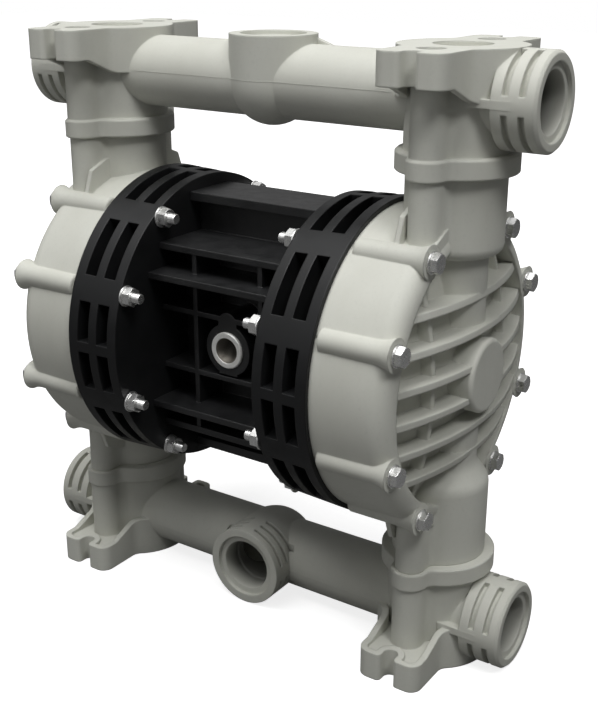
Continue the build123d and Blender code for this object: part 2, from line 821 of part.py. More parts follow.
# Threaded inserts in the centre block
with BuildPart() as air_inlet_insert:
    inlet_face = Plane(
        origin=(0, -grid_half_depth - inlet_insert_proud, axis_height), x_dir=(1, 0, 0), z_dir=(0, -1, 0)
    )
    with BuildSketch(inlet_face):
        Circle(inlet_insert_radius)
        Circle(inlet_thread_radius, mode=Mode.SUBTRACT)
    extrude(amount=-inlet_insert_length)
    chamfer(air_inlet_insert.edges().group_by(Axis.Y)[0], length=slip * 10)

with BuildPart() as exhaust_insert:
    mirror(air_inlet_insert.part, about=Plane.XZ)

# Chamber bolts, washers and nuts, one group of eight on each side
with BuildPart() as right_chamber_bolts:
    with BuildSketch(across(face_x + washer_height)):
        with Locations(*bolt_places):
            RegularPolygon(hex_width / 2, 6, major_radius=False)
    extrude(amount=head_height)
    with BuildSketch(across(bolt_tip_x)):
        with Locations(*bolt_places):
            Circle(bolt_radius)
    extrude(amount=face_x + washer_height - bolt_tip_x)


def washer_group(base_x):
    """Eight washers whose lower faces lie in the plane at base_x."""
    with BuildPart() as group:
        with BuildSketch(across(base_x)):
            with Locations(*bolt_places):
                Circle(washer_radius)
                Circle(bolt_radius + slip, mode=Mode.SUBTRACT)
        extrude(amount=washer_height)
    return group


right_head_washers = washer_group(face_x)
right_nut_washers = washer_group(cover_inner_x - washer_height)

with BuildPart() as right_nuts:
    with BuildSketch(across(cover_inner_x - washer_height - nut_height)):
        with Locations(*bolt_places):
            RegularPolygon(hex_width / 2, 6, major_radius=False)
            Circle(bolt_radius + slip, mode=Mode.SUBTRACT)
    extrude(amount=nut_height)

with BuildPart() as left_chamber_bolts:
    mirror(right_chamber_bolts.part, about=Plane.YZ)
with BuildPart() as left_head_washers:
    mirror(right_head_washers.part, about=Plane.YZ)
with BuildPart() as left_nut_washers:
    mirror(right_nut_washers.part, about=Plane.YZ)
with BuildPart() as left_nuts:
    mirror(right_nuts.part, about=Plane.YZ)

# Long screws that tie the manifolds to the chambers, and the inserts that they enter
with BuildPart() as bottom_tie_screws:
    with BuildSketch(Plane.XY.offset(tie_pocket_depth)):
        with Locations(*tie_places):
            Circle(tie_head_radius)
    extrude(amount=-tie_head_height)
    with BuildSketch(Plane.XY.offset(tie_pocket_depth)):
        with Locations(*tie_places):
            Circle(tie_screw_radius)
    extrude(amount=joint_height + tie_grip - tie_pocket_depth)
    mirror(about=Plane.YZ)

with BuildPart() as top_tie_screws:
    mirror(bottom_tie_screws.part, about=mid_plane)

with BuildPart() as tie_inserts:
    with BuildSketch(Plane.XY.offset(joint_height)):
        with Locations(*tie_places):
            Circle(tie_screw_radius + insert_wall)
            Circle(tie_screw_radius + slip, mode=Mode.SUBTRACT)
    extrude(amount=insert_length)
    mirror(about=Plane.YZ)
    mirror(about=mid_plane)

# Check valve seats, rings, guides and balls
seat_cup_radius = ball_radius + seal_gap


def seat_pair(top_height, ball_height):
    """Two seats under balls at ball_height, each with a spherical cup and a ring groove."""
    with BuildPart() as pair:
        with BuildSketch(Plane.XY.offset(top_height)):
            with Locations((column_x, 0)):
                Circle(seat_radius)
                Circle(seat_hole_radius, mode=Mode.SUBTRACT)
        extrude(amount=-seat_thickness)
        with Locations((column_x, 0, ball_height)):
            Sphere(seat_cup_radius, mode=Mode.SUBTRACT)
        groove = seat_ring_section + seal_gap
        with BuildSketch(Plane.XY.offset(top_height - seat_thickness)):
            with Locations((column_x, 0)):
                Circle(seat_ring_radius + groove)
                Circle(seat_ring_radius - groove, mode=Mode.SUBTRACT)
        extrude(amount=2 * seat_ring_section, mode=Mode.SUBTRACT)
        mirror(about=Plane.YZ)
    return pair


def ring_pair(top_height):
    """Two sealing rings in the grooves under the seats."""
    with BuildPart() as pair:
        with Locations((column_x, 0, top_height - seat_thickness + seat_ring_section)):
            Torus(seat_ring_radius, seat_ring_section)
        mirror(about=Plane.YZ)
    return pair


def guide_pair(foot_height):
    """Two ball guides: a thin sleeve with four fins whose tops turn inwards and stop the ball."""
    fin_reach = ball_radius + seal_gap
    with BuildPart() as pair:
        with BuildSketch(Plane.XY.offset(foot_height)):
            with Locations((column_x, 0)):
                Circle(guide_radius - slip)
                Circle(guide_radius - guide_wall, mode=Mode.SUBTRACT)
        extrude(amount=ball_rise)
        with BuildSketch(Plane.XY.offset(foot_height)):
            with Locations((column_x, 0)):
                with PolarLocations((guide_radius + fin_reach) / 2 - slip, 4, start_angle=45):
                    Rectangle(guide_radius - fin_reach - guide_wall / 2, guide_fin)
        extrude(amount=guide_height)
        with BuildSketch(Plane.XY.offset(foot_height + guide_height - guide_top)):
            with Locations((column_x, 0)):
                with PolarLocations(guide_radius / 2, 4, start_angle=45):
                    Rectangle(guide_radius - guide_wall, guide_fin)
        extrude(amount=guide_top)
        mirror(about=Plane.YZ)
    return pair


def check_ball(x, height):
    """One ball at rest over its seat."""
    with BuildPart() as ball:
        with Locations((x, 0, height)):
            Sphere(ball_radius)
    return ball


suction_seats = seat_pair(joint_height, lower_ball_height)
discharge_seats = seat_pair(upper_joint, upper_ball_height)
suction_seat_rings = ring_pair(joint_height)
discharge_seat_rings = ring_pair(upper_joint)
suction_ball_guides = guide_pair(joint_height)
discharge_ball_guides = guide_pair(upper_joint)
left_suction_ball = check_ball(-column_x, lower_ball_height)
right_suction_ball = check_ball(column_x, lower_ball_height)
left_discharge_ball = check_ball(-column_x, upper_ball_height)
right_discharge_ball = check_ball(column_x, upper_ball_height)

# Shaft with a tapped socket in each end
with BuildPart() as diaphragm_shaft:
    with BuildSketch(across(-inner_plate_x)):
        Circle(shaft_radius)
    extrude(amount=2 * inner_plate_x)
    for side in (-1, 1):
        with BuildSketch(across(side * inner_plate_x)):
            Circle(stud_radius + slip)
        extrude(amount=-side * stud_length, mode=Mode.SUBTRACT)

# Diaphragm: a disc with one rolled convolution and a clamped bead
with BuildPart() as right_diaphragm:
    with BuildSketch(shaft_plane):
        with BuildLine():
            near = diaphragm_x - diaphragm_thickness / 2
            far = diaphragm_x + diaphragm_thickness / 2
            roll_start = plate_radius + diaphragm_thickness
            roll_end = air_room_radius - diaphragm_thickness / 2
            roll_mid = (roll_start + roll_end) / 2
            Line((near, stud_radius + slip), (near, roll_start))
            ThreePointArc((near, roll_start), (near - roll_depth, roll_mid), (near, roll_end))
            Line((near, roll_end), (near, bead_radius))
            Line((near, bead_radius), (far, bead_radius))
            Line((far, bead_radius), (far, roll_end))
            ThreePointArc((far, roll_end), (far - roll_depth, roll_mid), (far, roll_start))
            Line((far, roll_start), (far, stud_radius + slip))
            Line((far, stud_radius + slip), (near, stud_radius + slip))
        make_face()
    revolve(axis=shaft_line)

# Air-side plate: a flat disc between the shaft and the diaphragm
with BuildPart() as right_inner_plate:
    with BuildSketch(across(inner_plate_x)):
        Circle(plate_radius)
        Circle(stud_radius + slip, mode=Mode.SUBTRACT)
    extrude(amount=inner_plate_thickness)
    chamfer(right_inner_plate.edges().group_by(Axis.X)[0].sort_by(SortBy.RADIUS)[-1], length=plate_edge)

# Liquid-side plate: a domed disc with the stud that clamps the stack to the shaft
with BuildPart() as right_outer_plate:
    with BuildSketch(shaft_plane):
        with BuildLine():
            crown_x = outer_plate_x + outer_plate_thickness
            rim = (dome_x(crown_x, plate_radius, plate_crown_radius), plate_radius)
            Line((outer_plate_x, 0), (outer_plate_x, plate_radius))
            Line((outer_plate_x, plate_radius), rim)
            ThreePointArc(
                rim,
                (dome_x(crown_x, plate_radius / 2, plate_crown_radius), plate_radius / 2),
                (crown_x, 0),
            )
            Line((crown_x, 0), (outer_plate_x, 0))
        make_face()
    revolve(axis=shaft_line)
    with BuildSketch(across(outer_plate_x)):
        Circle(stud_radius)
    extrude(amount=-(diaphragm_thickness + inner_plate_thickness + stud_length - stud_radius))

with BuildPart() as left_diaphragm:
    mirror(right_diaphragm.part, about=Plane.YZ)
with BuildPart() as left_inner_plate:
    mirror(right_inner_plate.part, about=Plane.YZ)
with BuildPart() as left_outer_plate:
    mirror(right_outer_plate.part, about=Plane.YZ)

# Shaft bushes in the centre block and shaft seals in the covers
with BuildPart() as shaft_bushes:
    with BuildSketch(across(cover_inner_x - bush_length)):
        Circle(bush_radius)
        Circle(shaft_radius + slip, mode=Mode.SUBTRACT)
    extrude(amount=bush_length)
    mirror(about=Plane.YZ)

with BuildPart() as shaft_seals:
    with BuildSketch(across(cover_inner_x)):
        Circle(bush_radius)
        Circle(shaft_radius + slip, mode=Mode.SUBTRACT)
    extrude(amount=shaft_seal_length)
    mirror(about=Plane.YZ)

# Air valve: a ported sleeve, its spool and the two plugs that close the bore
with BuildPart() as valve_sleeve:
    with BuildSketch(across(-sleeve_half_length)):
        with Locations((valve_y, valve_z)):
            Circle(sleeve_radius)
            Circle(spool_radius + slip, mode=Mode.SUBTRACT)
    extrude(amount=2 * sleeve_half_length)
    with BuildSketch(Plane.XY.offset(axis_height + valve_z)):
        with Locations(*[(number * valve_port_pitch, valve_y) for number in (-2, -1, 0, 1, 2)]):
            Circle(airway_radius)
    extrude(amount=sleeve_radius, both=True, mode=Mode.SUBTRACT)

with BuildPart() as valve_spool:
    spool_half_length = sleeve_half_length - spool_travel
    with BuildSketch(across(-spool_half_length)):
        with Locations((valve_y, valve_z)):
            Circle(spool_waist_radius)
    extrude(amount=2 * spool_half_length)
    land_places = (
        -spool_half_length,
        -valve_port_pitch - land_length / 2,
        valve_port_pitch - land_length / 2,
        spool_half_length - land_length,
    )
    for land_x in land_places:
        with BuildSketch(across(land_x)):
            with Locations((valve_y, valve_z)):
                Circle(spool_radius)
        extrude(amount=land_length)

with BuildPart() as valve_plugs:
    with BuildSketch(across(sleeve_half_length + seal_gap)):
        with Locations((valve_y, valve_z)):
            Circle(sleeve_radius)
    extrude(amount=cover_inner_x - sleeve_half_length - seal_gap)
    mirror(about=Plane.YZ)

# Pilot rod that the air-side plates push at the end of each stroke, and its bushes
with BuildPart() as pilot_rod:
    with BuildSketch(across(-pilot_reach)):
        with Locations((0, pilot_z)):
            Circle(pilot_radius)
    extrude(amount=2 * pilot_reach)

with BuildPart() as pilot_bushes:
    with BuildSketch(across(cover_inner_x)):
        with Locations((0, pilot_z)):
            Circle(pilot_bush_radius)
            Circle(pilot_radius + slip, mode=Mode.SUBTRACT)
    extrude(amount=pilot_bush_length)
    mirror(about=Plane.YZ)

# Screws that hold each air cover to the centre block
with BuildPart() as right_cover_screws:
    with BuildSketch(across(air_room_x)):
        with Locations(*cover_screw_places):
            Circle(cover_screw_head_radius)
    extrude(amount=cover_screw_head_height)
    with BuildSketch(across(air_room_x)):
        with Locations(*cover_screw_places):
            Circle(cover_screw_radius)
    extrude(amount=-cover_screw_length)

with BuildPart() as left_cover_screws:
    mirror(right_cover_screws.part, about=Plane.YZ)

nodes = {
    "centre_block": centre_block,
    "left_air_cover": left_air_cover,
    "right_air_cover": right_air_cover,
    "left_chamber": left_chamber,
    "right_chamber": right_chamber,
    "bottom_manifold": bottom_manifold,
    "top_manifold": top_manifold,
    "air_inlet_insert": air_inlet_insert,
    "exhaust_insert": exhaust_insert,
    "left_chamber_bolts": left_chamber_bolts,
    "right_chamber_bolts": right_chamber_bolts,
    "left_head_washers": left_head_washers,
    "right_head_washers": right_head_washers,
    "left_nut_washers": left_nut_washers,
    "right_nut_washers": right_nut_washers,
    "left_nuts": left_nuts,
    "right_nuts": right_nuts,
    "bottom_tie_screws": bottom_tie_screws,
    "top_tie_screws": top_tie_screws,
    "tie_inserts": tie_inserts,
    "suction_seats": suction_seats,
    "discharge_seats": discharge_seats,
    "suction_seat_rings": suction_seat_rings,
    "discharge_seat_rings": discharge_seat_rings,
    "suction_ball_guides": suction_ball_guides,
    "discharge_ball_guides": discharge_ball_guides,
    "left_suction_ball": left_suction_ball,
    "right_suction_ball": right_suction_ball,
    "left_discharge_ball": left_discharge_ball,
    "right_discharge_ball": right_discharge_ball,
    "diaphragm_shaft": diaphragm_shaft,
    "left_diaphragm": left_diaphragm,
    "right_diaphragm": right_diaphragm,
    "left_inner_plate": left_inner_plate,
    "right_inner_plate": right_inner_plate,
    "left_outer_plate": left_outer_plate,
    "right_outer_plate": right_outer_plate,
    "shaft_bushes": shaft_bushes,
    "shaft_seals": shaft_seals,
    "valve_sleeve": valve_sleeve,
    "valve_spool": valve_spool,
    "valve_plugs": valve_plugs,
    "pilot_rod": pilot_rod,
    "pilot_bushes": pilot_bushes,
    "left_cover_screws": left_cover_screws,
    "right_cover_screws": right_cover_screws,
}
for node_name, node in nodes.items():
    node.part.label = node_name
    export_step(node.part, f"parts/{node_name}.step")
    print(node_name, "solids", len(node.part.solids()), "volume", round(node.part.volume))
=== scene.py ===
# %% [markdown]
# # An air operated double diaphragm pump
#
# The CAD frame brings every rigid piece of the pump at its real size. Each new piece is a surface worked
# out with numpy from two parameters, so its shape can be read in its formula.

# %% Load the frame
import json
import math

import bpy
import numpy as np
from mathutils import Matrix, Vector


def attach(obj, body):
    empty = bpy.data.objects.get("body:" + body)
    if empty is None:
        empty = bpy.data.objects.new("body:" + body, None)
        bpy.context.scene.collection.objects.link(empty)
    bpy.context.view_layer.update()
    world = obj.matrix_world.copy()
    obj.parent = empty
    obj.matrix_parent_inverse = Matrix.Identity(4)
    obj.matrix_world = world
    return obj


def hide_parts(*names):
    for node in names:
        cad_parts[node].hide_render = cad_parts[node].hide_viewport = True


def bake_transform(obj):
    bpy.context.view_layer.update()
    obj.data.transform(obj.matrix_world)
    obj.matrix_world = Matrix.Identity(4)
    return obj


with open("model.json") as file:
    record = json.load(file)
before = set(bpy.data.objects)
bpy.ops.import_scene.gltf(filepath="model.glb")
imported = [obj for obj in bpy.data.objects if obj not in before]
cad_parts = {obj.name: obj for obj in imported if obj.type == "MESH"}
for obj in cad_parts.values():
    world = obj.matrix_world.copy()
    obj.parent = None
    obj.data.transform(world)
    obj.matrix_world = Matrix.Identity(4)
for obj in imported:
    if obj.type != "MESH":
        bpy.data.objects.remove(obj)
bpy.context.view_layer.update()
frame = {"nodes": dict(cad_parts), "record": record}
nodes = frame["nodes"]

# %% [markdown]
# ## Values that the steps share
#
# Lengths are in metres, as in the frame, and are written as a number of millimetres. They repeat the sizes of
# the real pump: the height of the shaft's axis, the distance of the liquid columns from the middle, the inner
# face of the air covers, the heights of the two pipes, and the M8 thread. A value that only one step needs
# stands in that step. POLE is the radius of a ring so small that it stands for a point on an axis, which
# keeps every face a quad, and a thread takes ROWS_PER_TURN rows of points for one turn of its helix.

# %% Shared values
MM = 0.001
TAU = 2 * np.pi
AXIS_HEIGHT = 225 * MM
COLUMN_X = 151 * MM
COVER_X = 62 * MM
PIPE_LOW = 33.2 * MM
PIPE_HIGH = 2 * AXIS_HEIGHT - PIPE_LOW
BOLT_RADIUS = 4 * MM
PITCH = 1.25 * MM
POLE = 1e-5
ROWS_PER_TURN = 6
print("shaft axis", AXIS_HEIGHT, "m high, liquid columns", COLUMN_X, "m from the middle")

# %% [markdown]
# ## Turning a grid of points into a mesh
#
# Every new piece is a grid: rows along one parameter and columns round the other. One helper joins the
# points into quads with index arrays and closes the seam where the columns go all the way round. Another
# makes the mesh, smooth but for the edges that are really sharp. Faces turn outwards when rows go up and
# columns go anticlockwise.


# %% Grid helpers
def turn_angles(columns):
    """The angles of a ring's columns: equal shares of one turn."""
    return np.arange(columns) * TAU / columns


def grid_faces(rows, columns, closed=True):
    """Quads of a grid: corner indices r*columns + c, with c taken round when the grid is closed."""
    r, c = np.meshgrid(np.arange(rows - 1), np.arange(columns if closed else columns - 1), indexing="ij")
    nxt = (c + 1) % columns
    quads = np.stack([r * columns + c, r * columns + nxt, (r + 1) * columns + nxt, (r + 1) * columns + c], -1)
    return quads.reshape(-1, 4)


def shade_smooth(mesh, sharp_angle):
    """Smooth shading on every face, but for the edges that bend by more than an angle in degrees."""
    mesh.polygons.foreach_set("use_smooth", np.ones(len(mesh.polygons), bool))
    mesh.set_sharp_from_angle(angle=math.radians(sharp_angle))


def make_mesh(name, points, faces, sharp_angle=30.0):
    """A mesh object at the origin from points (n, 3) and quads (m, 4)."""
    mesh = bpy.data.meshes.new(name)
    mesh.vertices.add(len(points))
    mesh.vertices.foreach_set("co", np.ascontiguousarray(points, np.float32).ravel())
    mesh.loops.add(faces.size)
    mesh.loops.foreach_set("vertex_index", np.ascontiguousarray(faces, np.int32).ravel())
    mesh.polygons.add(len(faces))
    mesh.polygons.foreach_set("loop_start", np.arange(0, faces.size, 4, dtype=np.int32))
    mesh.update(calc_edges=True)
    mesh.validate()
    shade_smooth(mesh, sharp_angle)
    piece = bpy.data.objects.new(name, mesh)
    bpy.context.scene.collection.objects.link(piece)
    return piece


print("grid helpers ready")

# %% [markdown]
# ## Copies of a grid
#
# Many pieces are one shape several times over: eight bolts, four screws, a left and a right side. The copies
# are made in the arrays, before the mesh exists. The left-hand side is half a turn of the right-hand one
# about the upright axis. A mirror would turn a right-hand thread into a left-hand one.


# %% Copy helpers
def repeated(points, faces, offsets):
    """Copies of one grid, one per offset: points + offset, and faces with their indices moved on."""
    count = len(points)
    all_points = (points[None, :, :] + np.asarray(offsets)[:, None, :]).reshape(-1, 3)
    shift = np.arange(len(offsets))[:, None, None] * count
    return all_points, (faces[None, :, :] + shift).reshape(-1, 4)


def joined(*parts):
    """Several (points, faces) pairs as one pair."""
    starts = np.cumsum([0] + [len(p) for p, _ in parts[:-1]])
    return np.concatenate([p for p, _ in parts]), np.concatenate([f + s for (_, f), s in zip(parts, starts)])


def half_turn(points, faces):
    """The same grid on the left-hand side: x and y change sign, and z stays."""
    return points * np.array([-1, -1, 1]), faces


def flipped(points, faces):
    """The same grid with its faces turned over."""
    return points, faces[:, ::-1]


print("copy helpers ready")

# %% [markdown]
# ## Nodes that every finish uses
#
# The real pump is mostly two moulded plastics. Both have a fine spark-eroded grain, a slow change of shade
# where the melt flowed, and small edge radii that catch a thin line of light. The shade and the roughness
# come from noise on Object coordinates, the grain from a bump, and the edge radius from the Bevel node, which
# rounds the light on an edge without touching the mesh. Image textures could do the same, but noise has no
# seams and no limit of resolution.

# %% Material helpers
BEVEL_SAMPLES = 6


def new_material(name):
    """An empty node material with its Principled shader and output."""
    material = bpy.data.materials.new(name)
    material.use_nodes = True
    tree = material.node_tree
    tree.nodes.clear()
    shader = tree.nodes.new("ShaderNodeBsdfPrincipled")
    output = tree.nodes.new("ShaderNodeOutputMaterial")
    tree.links.new(shader.outputs["BSDF"], output.inputs["Surface"])
    return material, tree, shader


def noise(tree, scale, detail=4.0, roughness=0.55, stretch=(1, 1, 1)):
    """A noise value on Object coordinates times the stretch, which squeezes the pattern along an axis."""
    where = tree.nodes.new("ShaderNodeTexCoord")
    mapping = tree.nodes.new("ShaderNodeMapping")
    mapping.inputs["Scale"].default_value = stretch
    texture = tree.nodes.new("ShaderNodeTexNoise")
    texture.inputs["Scale"].default_value = scale
    texture.inputs["Detail"].default_value = detail
    texture.inputs["Roughness"].default_value = roughness
    tree.links.new(where.outputs["Object"], mapping.inputs["Vector"])
    tree.links.new(mapping.outputs["Vector"], texture.inputs["Vector"])
    return texture.outputs["Fac"]


def spread(tree, value, low, high, from_low=0.3, from_high=0.7):
    """A value moved from the range from_low to from_high to the range low to high, and held inside it."""
    node = tree.nodes.new("ShaderNodeMapRange")
    for key, number in (("From Min", from_low), ("From Max", from_high), ("To Min", low), ("To Max", high)):
        node.inputs[key].default_value = number
    tree.links.new(value, node.inputs["Value"])
    return node.outputs["Result"]


def mixed(tree, share, first, second):
    """A colour between two colours by a share; each may be a colour or a socket."""
    node = tree.nodes.new("ShaderNodeMix")
    node.data_type = "RGBA"
    tree.links.new(share, node.inputs["Factor"])
    for key, colour in (("A", first), ("B", second)):
        socket = [s for s in node.inputs if s.name == key and s.type == "RGBA"][0]
        if isinstance(colour, tuple):
            socket.default_value = (*colour, 1)
        else:
            tree.links.new(colour, socket)
    return [s for s in node.outputs if s.type == "RGBA"][0]


def grain(tree, shader, height, strength, distance, edge_radius):
    """The bump of a moulded or cut surface over softly rounded edges."""
    edge = tree.nodes.new("ShaderNodeBevel")
    edge.samples = BEVEL_SAMPLES
    edge.inputs["Radius"].default_value = edge_radius
    bump = tree.nodes.new("ShaderNodeBump")
    bump.inputs["Strength"].default_value = strength
    bump.inputs["Distance"].default_value = distance
    tree.links.new(height, bump.inputs["Height"])
    tree.links.new(edge.outputs["Normal"], bump.inputs["Normal"])
    tree.links.new(bump.outputs["Normal"], shader.inputs["Normal"])


print("material helpers ready")

# %% [markdown]
# ## Painted shade that depends on the place
#
# The port bores are darker than their open plastic, and the threads in the air connections are darker than the
# inserts' plated faces, because little light gets into them; that shade is painted into the colour here. A bore
# is the room within a radius of an axis, so a few arithmetic nodes on Object coordinates say how far a point lies
# in one. In the ports the painted shade grows from the mouth inwards, because less light gets into a bore the
# deeper it is. The four side ports share one rule, because the distance from the middle and the height over or
# under the shaft's axis are taken without their signs.

# %% Masks for the painted shade in the bores
PORT_BORE = 21.3 * MM
PORT_MOUTH_X = 214.5 * MM
PORT_MOUTH_Y = -41.5 * MM
PORT_FADE = 14 * MM
SIDE_PORTS_INNER_X = 120 * MM
FRONT_PORT_INNER_Y = -1 * MM
INSERT_BORE = 9.3 * MM
INSERT_FRONT = 63 * MM
INSERT_RIM = 0.3 * MM
# The radius within which the air connection's thread gets painted shade.
INSERT_PAINTED_SHADE_RADIUS = INSERT_BORE + 1.2 * MM


def maths(tree, operation, *values):
    """One arithmetic step on numbers or sockets."""
    node = tree.nodes.new("ShaderNodeMath")
    node.operation = operation
    for socket, value in zip(node.inputs, values):
        if isinstance(value, (int, float)):
            socket.default_value = value
        else:
            tree.links.new(value, socket)
    return node.outputs["Value"]


def product(tree, first, *others):
    """Several numbers or sockets multiplied together."""
    for other in others:
        first = maths(tree, "MULTIPLY", first, other)
    return first


def place_of(tree):
    """The three Object coordinates of a point, as sockets."""
    where = tree.nodes.new("ShaderNodeTexCoord")
    parts = tree.nodes.new("ShaderNodeSeparateXYZ")
    tree.links.new(where.outputs["Object"], parts.inputs[0])
    return tuple(parts.outputs)


def in_bore(tree, across, up, radius):
    """1 where across squared plus up squared, the distances from a bore's axis, is under radius squared."""
    square = maths(tree, "ADD", product(tree, across, across), product(tree, up, up))
    return maths(tree, "LESS_THAN", square, radius * radius)


def port_painted_shade_share(tree):
    """How much painted shade a point gets in a liquid port: 0 outside the bores, 1 some millimetres past the mouth.
    """
    x, y, z = place_of(tree)
    out = maths(tree, "ABSOLUTE", x)
    from_shaft = maths(tree, "ABSOLUTE", maths(tree, "SUBTRACT", z, AXIS_HEIGHT))
    side = product(
        tree,
        in_bore(tree, y, maths(tree, "SUBTRACT", from_shaft, AXIS_HEIGHT - PIPE_LOW), PORT_BORE),
        maths(tree, "GREATER_THAN", out, SIDE_PORTS_INNER_X),
        spread(tree, out, 1.0, 0.0, PORT_MOUTH_X - PORT_FADE, PORT_MOUTH_X))
    front = product(
        tree,
        in_bore(tree, x, maths(tree, "SUBTRACT", z, PIPE_LOW), PORT_BORE),
        maths(tree, "LESS_THAN", y, FRONT_PORT_INNER_Y),
        spread(tree, y, 0.0, 1.0, PORT_MOUTH_Y, PORT_MOUTH_Y + PORT_FADE))
    return maths(tree, "MAXIMUM", side, front)


def insert_painted_shade_share(tree, radius):
    """1 within a radius of the air connection's axis and behind the insert's front face, else 0: where the thread
    gets painted shade.
    """
    x, y, z = place_of(tree)
    behind = maths(tree, "LESS_THAN", maths(tree, "ABSOLUTE", y), INSERT_FRONT - INSERT_RIM)
    return product(tree, in_bore(tree, x, maths(tree, "SUBTRACT", z, AXIS_HEIGHT), radius), behind)


print("masks for the bores ready")

# %% [markdown]
# ## Three kinds of finish
#
# Plastic, metal and rubber each get one function, and every finish is a call of one of them. The plastic
# mixes two near shades and adds small darker specks. Metals are turned or cold formed, so their noise is
# squeezed along one axis, which leaves streaks round it. Rubber has a dull bloom that moves its shade and its
# roughness together. The gloss is one number on the shader's own socket.

# %% Kinds of finish
SPECK_SHADE = 0.82
# The painted shade deep in the liquid ports: how far towards near black it goes, and its largest share.
PAINTED_PORT_SHADE = 0.12
PAINTED_PORT_SHADE_STRENGTH = 0.8
# The dark colour painted into the air connection's thread as shade.
INSERT_PAINTED_SHADE = (0.17, 0.155, 0.13)


def darker(colour, factor):
    """A colour with each of its three parts times a factor."""
    return tuple(factor * c for c in colour)


def moulded_plastic(name, light, dark, rough, gloss, edge_radius, ports=False):
    """Moulded plastic: two near shades mixed by slow flow noise, specks, fine grain, softly rounded edges."""
    material, tree, shader = new_material(name)
    shader.inputs["Specular IOR Level"].default_value = gloss
    flow = noise(tree, scale=14.0, detail=5.0, roughness=0.6, stretch=(1, 1, 0.5))
    speck = noise(tree, scale=420.0, detail=2.0, roughness=0.5)
    shade = mixed(tree, spread(tree, flow, 0.0, 1.0), light, dark)
    shade = mixed(tree, spread(tree, speck, 0.0, 0.35, 0.55, 0.8), shade, darker(light, SPECK_SHADE))
    if ports:
        # Painted shade: deeper in a liquid port the colour darkens towards near black.
        shade = mixed(tree, product(tree, port_painted_shade_share(tree), PAINTED_PORT_SHADE_STRENGTH), shade, darker(dark, PAINTED_PORT_SHADE))
    tree.links.new(shade, shader.inputs["Base Color"])
    tree.links.new(spread(tree, noise(tree, scale=90.0), rough - 0.06, rough + 0.08), shader.inputs["Roughness"])
    fine = noise(tree, scale=1500.0, detail=2.0, roughness=0.6)
    grain(tree, shader, fine, strength=0.25, distance=0.12 * MM, edge_radius=edge_radius)
    return material


def metal(name, light, dark, rough, stretch, scale=260.0, bump=0.12, metallic=1.0, bore=0.0):
    """Cut or formed metal: fine streaky noise moves the shade, the roughness and a light bump.

    Within the bore's radius of the air connection's axis, the thread's colour is a dark painted shade.
    """
    material, tree, shader = new_material(name)
    shader.inputs["Metallic"].default_value = metallic
    streak = noise(tree, scale, detail=3.0, roughness=0.6, stretch=stretch)
    shade = mixed(tree, spread(tree, streak, 0.0, 1.0), light, dark)
    if bore:
        # Painted shade inside the air connection's thread.
        shade = mixed(tree, insert_painted_shade_share(tree, bore), shade, INSERT_PAINTED_SHADE)
    tree.links.new(shade, shader.inputs["Base Color"])
    tree.links.new(spread(tree, streak, rough - 0.07, rough + 0.1), shader.inputs["Roughness"])
    grain(tree, shader, streak, bump, distance=0.05 * MM, edge_radius=0.3 * MM)
    return material


def rubber(name, light, dark, rough):
    """Moulded rubber or soft polymer: a matt skin with fine grain and a little bloom."""
    material, tree, shader = new_material(name)
    bloom = noise(tree, scale=60.0, detail=5.0, roughness=0.6)
    tree.links.new(mixed(tree, spread(tree, bloom, 0.0, 1.0), light, dark), shader.inputs["Base Color"])
    tree.links.new(spread(tree, bloom, rough - 0.05, rough + 0.08), shader.inputs["Roughness"])
    fine = noise(tree, scale=1200.0, detail=2.0)
    grain(tree, shader, fine, strength=0.2, distance=0.1 * MM, edge_radius=0.4 * MM)
    return material


print("kinds of finish ready")

# %% [markdown]
# ## The pump's finishes
#
# Each slot that the parts name gets one finish, from the warm grey plastic of the chambers to the ground
# steel of the shaft. The air covers come from a coarser mould than the block between them, so their black is
# more matt: a material of their own, with the same shades and a lower gloss.

# %% Finishes
CAD_SHARP_ANGLE = 28
BLACK_LIGHT, BLACK_DARK = (0.010, 0.0104, 0.011), (0.006, 0.0062, 0.0066)

finishes = {
    # The grey plastic is darkened with painted shade inside the liquid ports.
    "grey_plastic": moulded_plastic(
        "warm_grey_moulded_plastic", (0.62, 0.625, 0.57), (0.55, 0.552, 0.495),
        rough=0.58, gloss=0.28, edge_radius=1.8 * MM, ports=True),
    "black_plastic": moulded_plastic(
        "black_moulded_plastic", BLACK_LIGHT, BLACK_DARK, rough=0.42, gloss=0.62, edge_radius=1.3 * MM),
    "wetted_plastic": moulded_plastic(
        "light_wetted_plastic", (0.66, 0.65, 0.60), (0.58, 0.57, 0.52), rough=0.45, gloss=0.4, edge_radius=0.6 * MM),
    # The inserts' threads get a painted shade.
    "port_insert": metal(
        "plated_insert", (0.90, 0.90, 0.87), (0.78, 0.78, 0.75), rough=0.42, stretch=(1, 30, 1),
        bump=0.05, metallic=0.4, bore=INSERT_PAINTED_SHADE_RADIUS),
    "bush_metal": metal("bronze_bush", (0.72, 0.52, 0.28), (0.55, 0.38, 0.20), rough=0.35, stretch=(20, 1, 1)),
    "steel_fastener": metal(
        "plated_fastener", (0.80, 0.80, 0.79), (0.68, 0.68, 0.67), rough=0.28, stretch=(1, 1, 3),
        scale=150.0, bump=0.02, metallic=0.92),
    "air_side_metal": metal(
        "turned_aluminium", (0.70, 0.71, 0.72), (0.55, 0.56, 0.57), rough=0.33, stretch=(30, 1, 1)),
    "polished_steel": metal(
        "ground_shaft_steel", (0.66, 0.66, 0.67), (0.55, 0.55, 0.56), rough=0.16, stretch=(25, 1, 1)),
    "valve_ball": rubber("white_elastomer_ball", (0.80, 0.79, 0.75), (0.72, 0.71, 0.66), rough=0.5),
    "black_rubber": rubber("black_rubber", (0.030, 0.030, 0.032), (0.018, 0.018, 0.019), rough=0.62),
}
matt_black = moulded_plastic(
    "matt_black_moulded_plastic", BLACK_LIGHT, BLACK_DARK, rough=0.42, gloss=0.30, edge_radius=1.3 * MM)
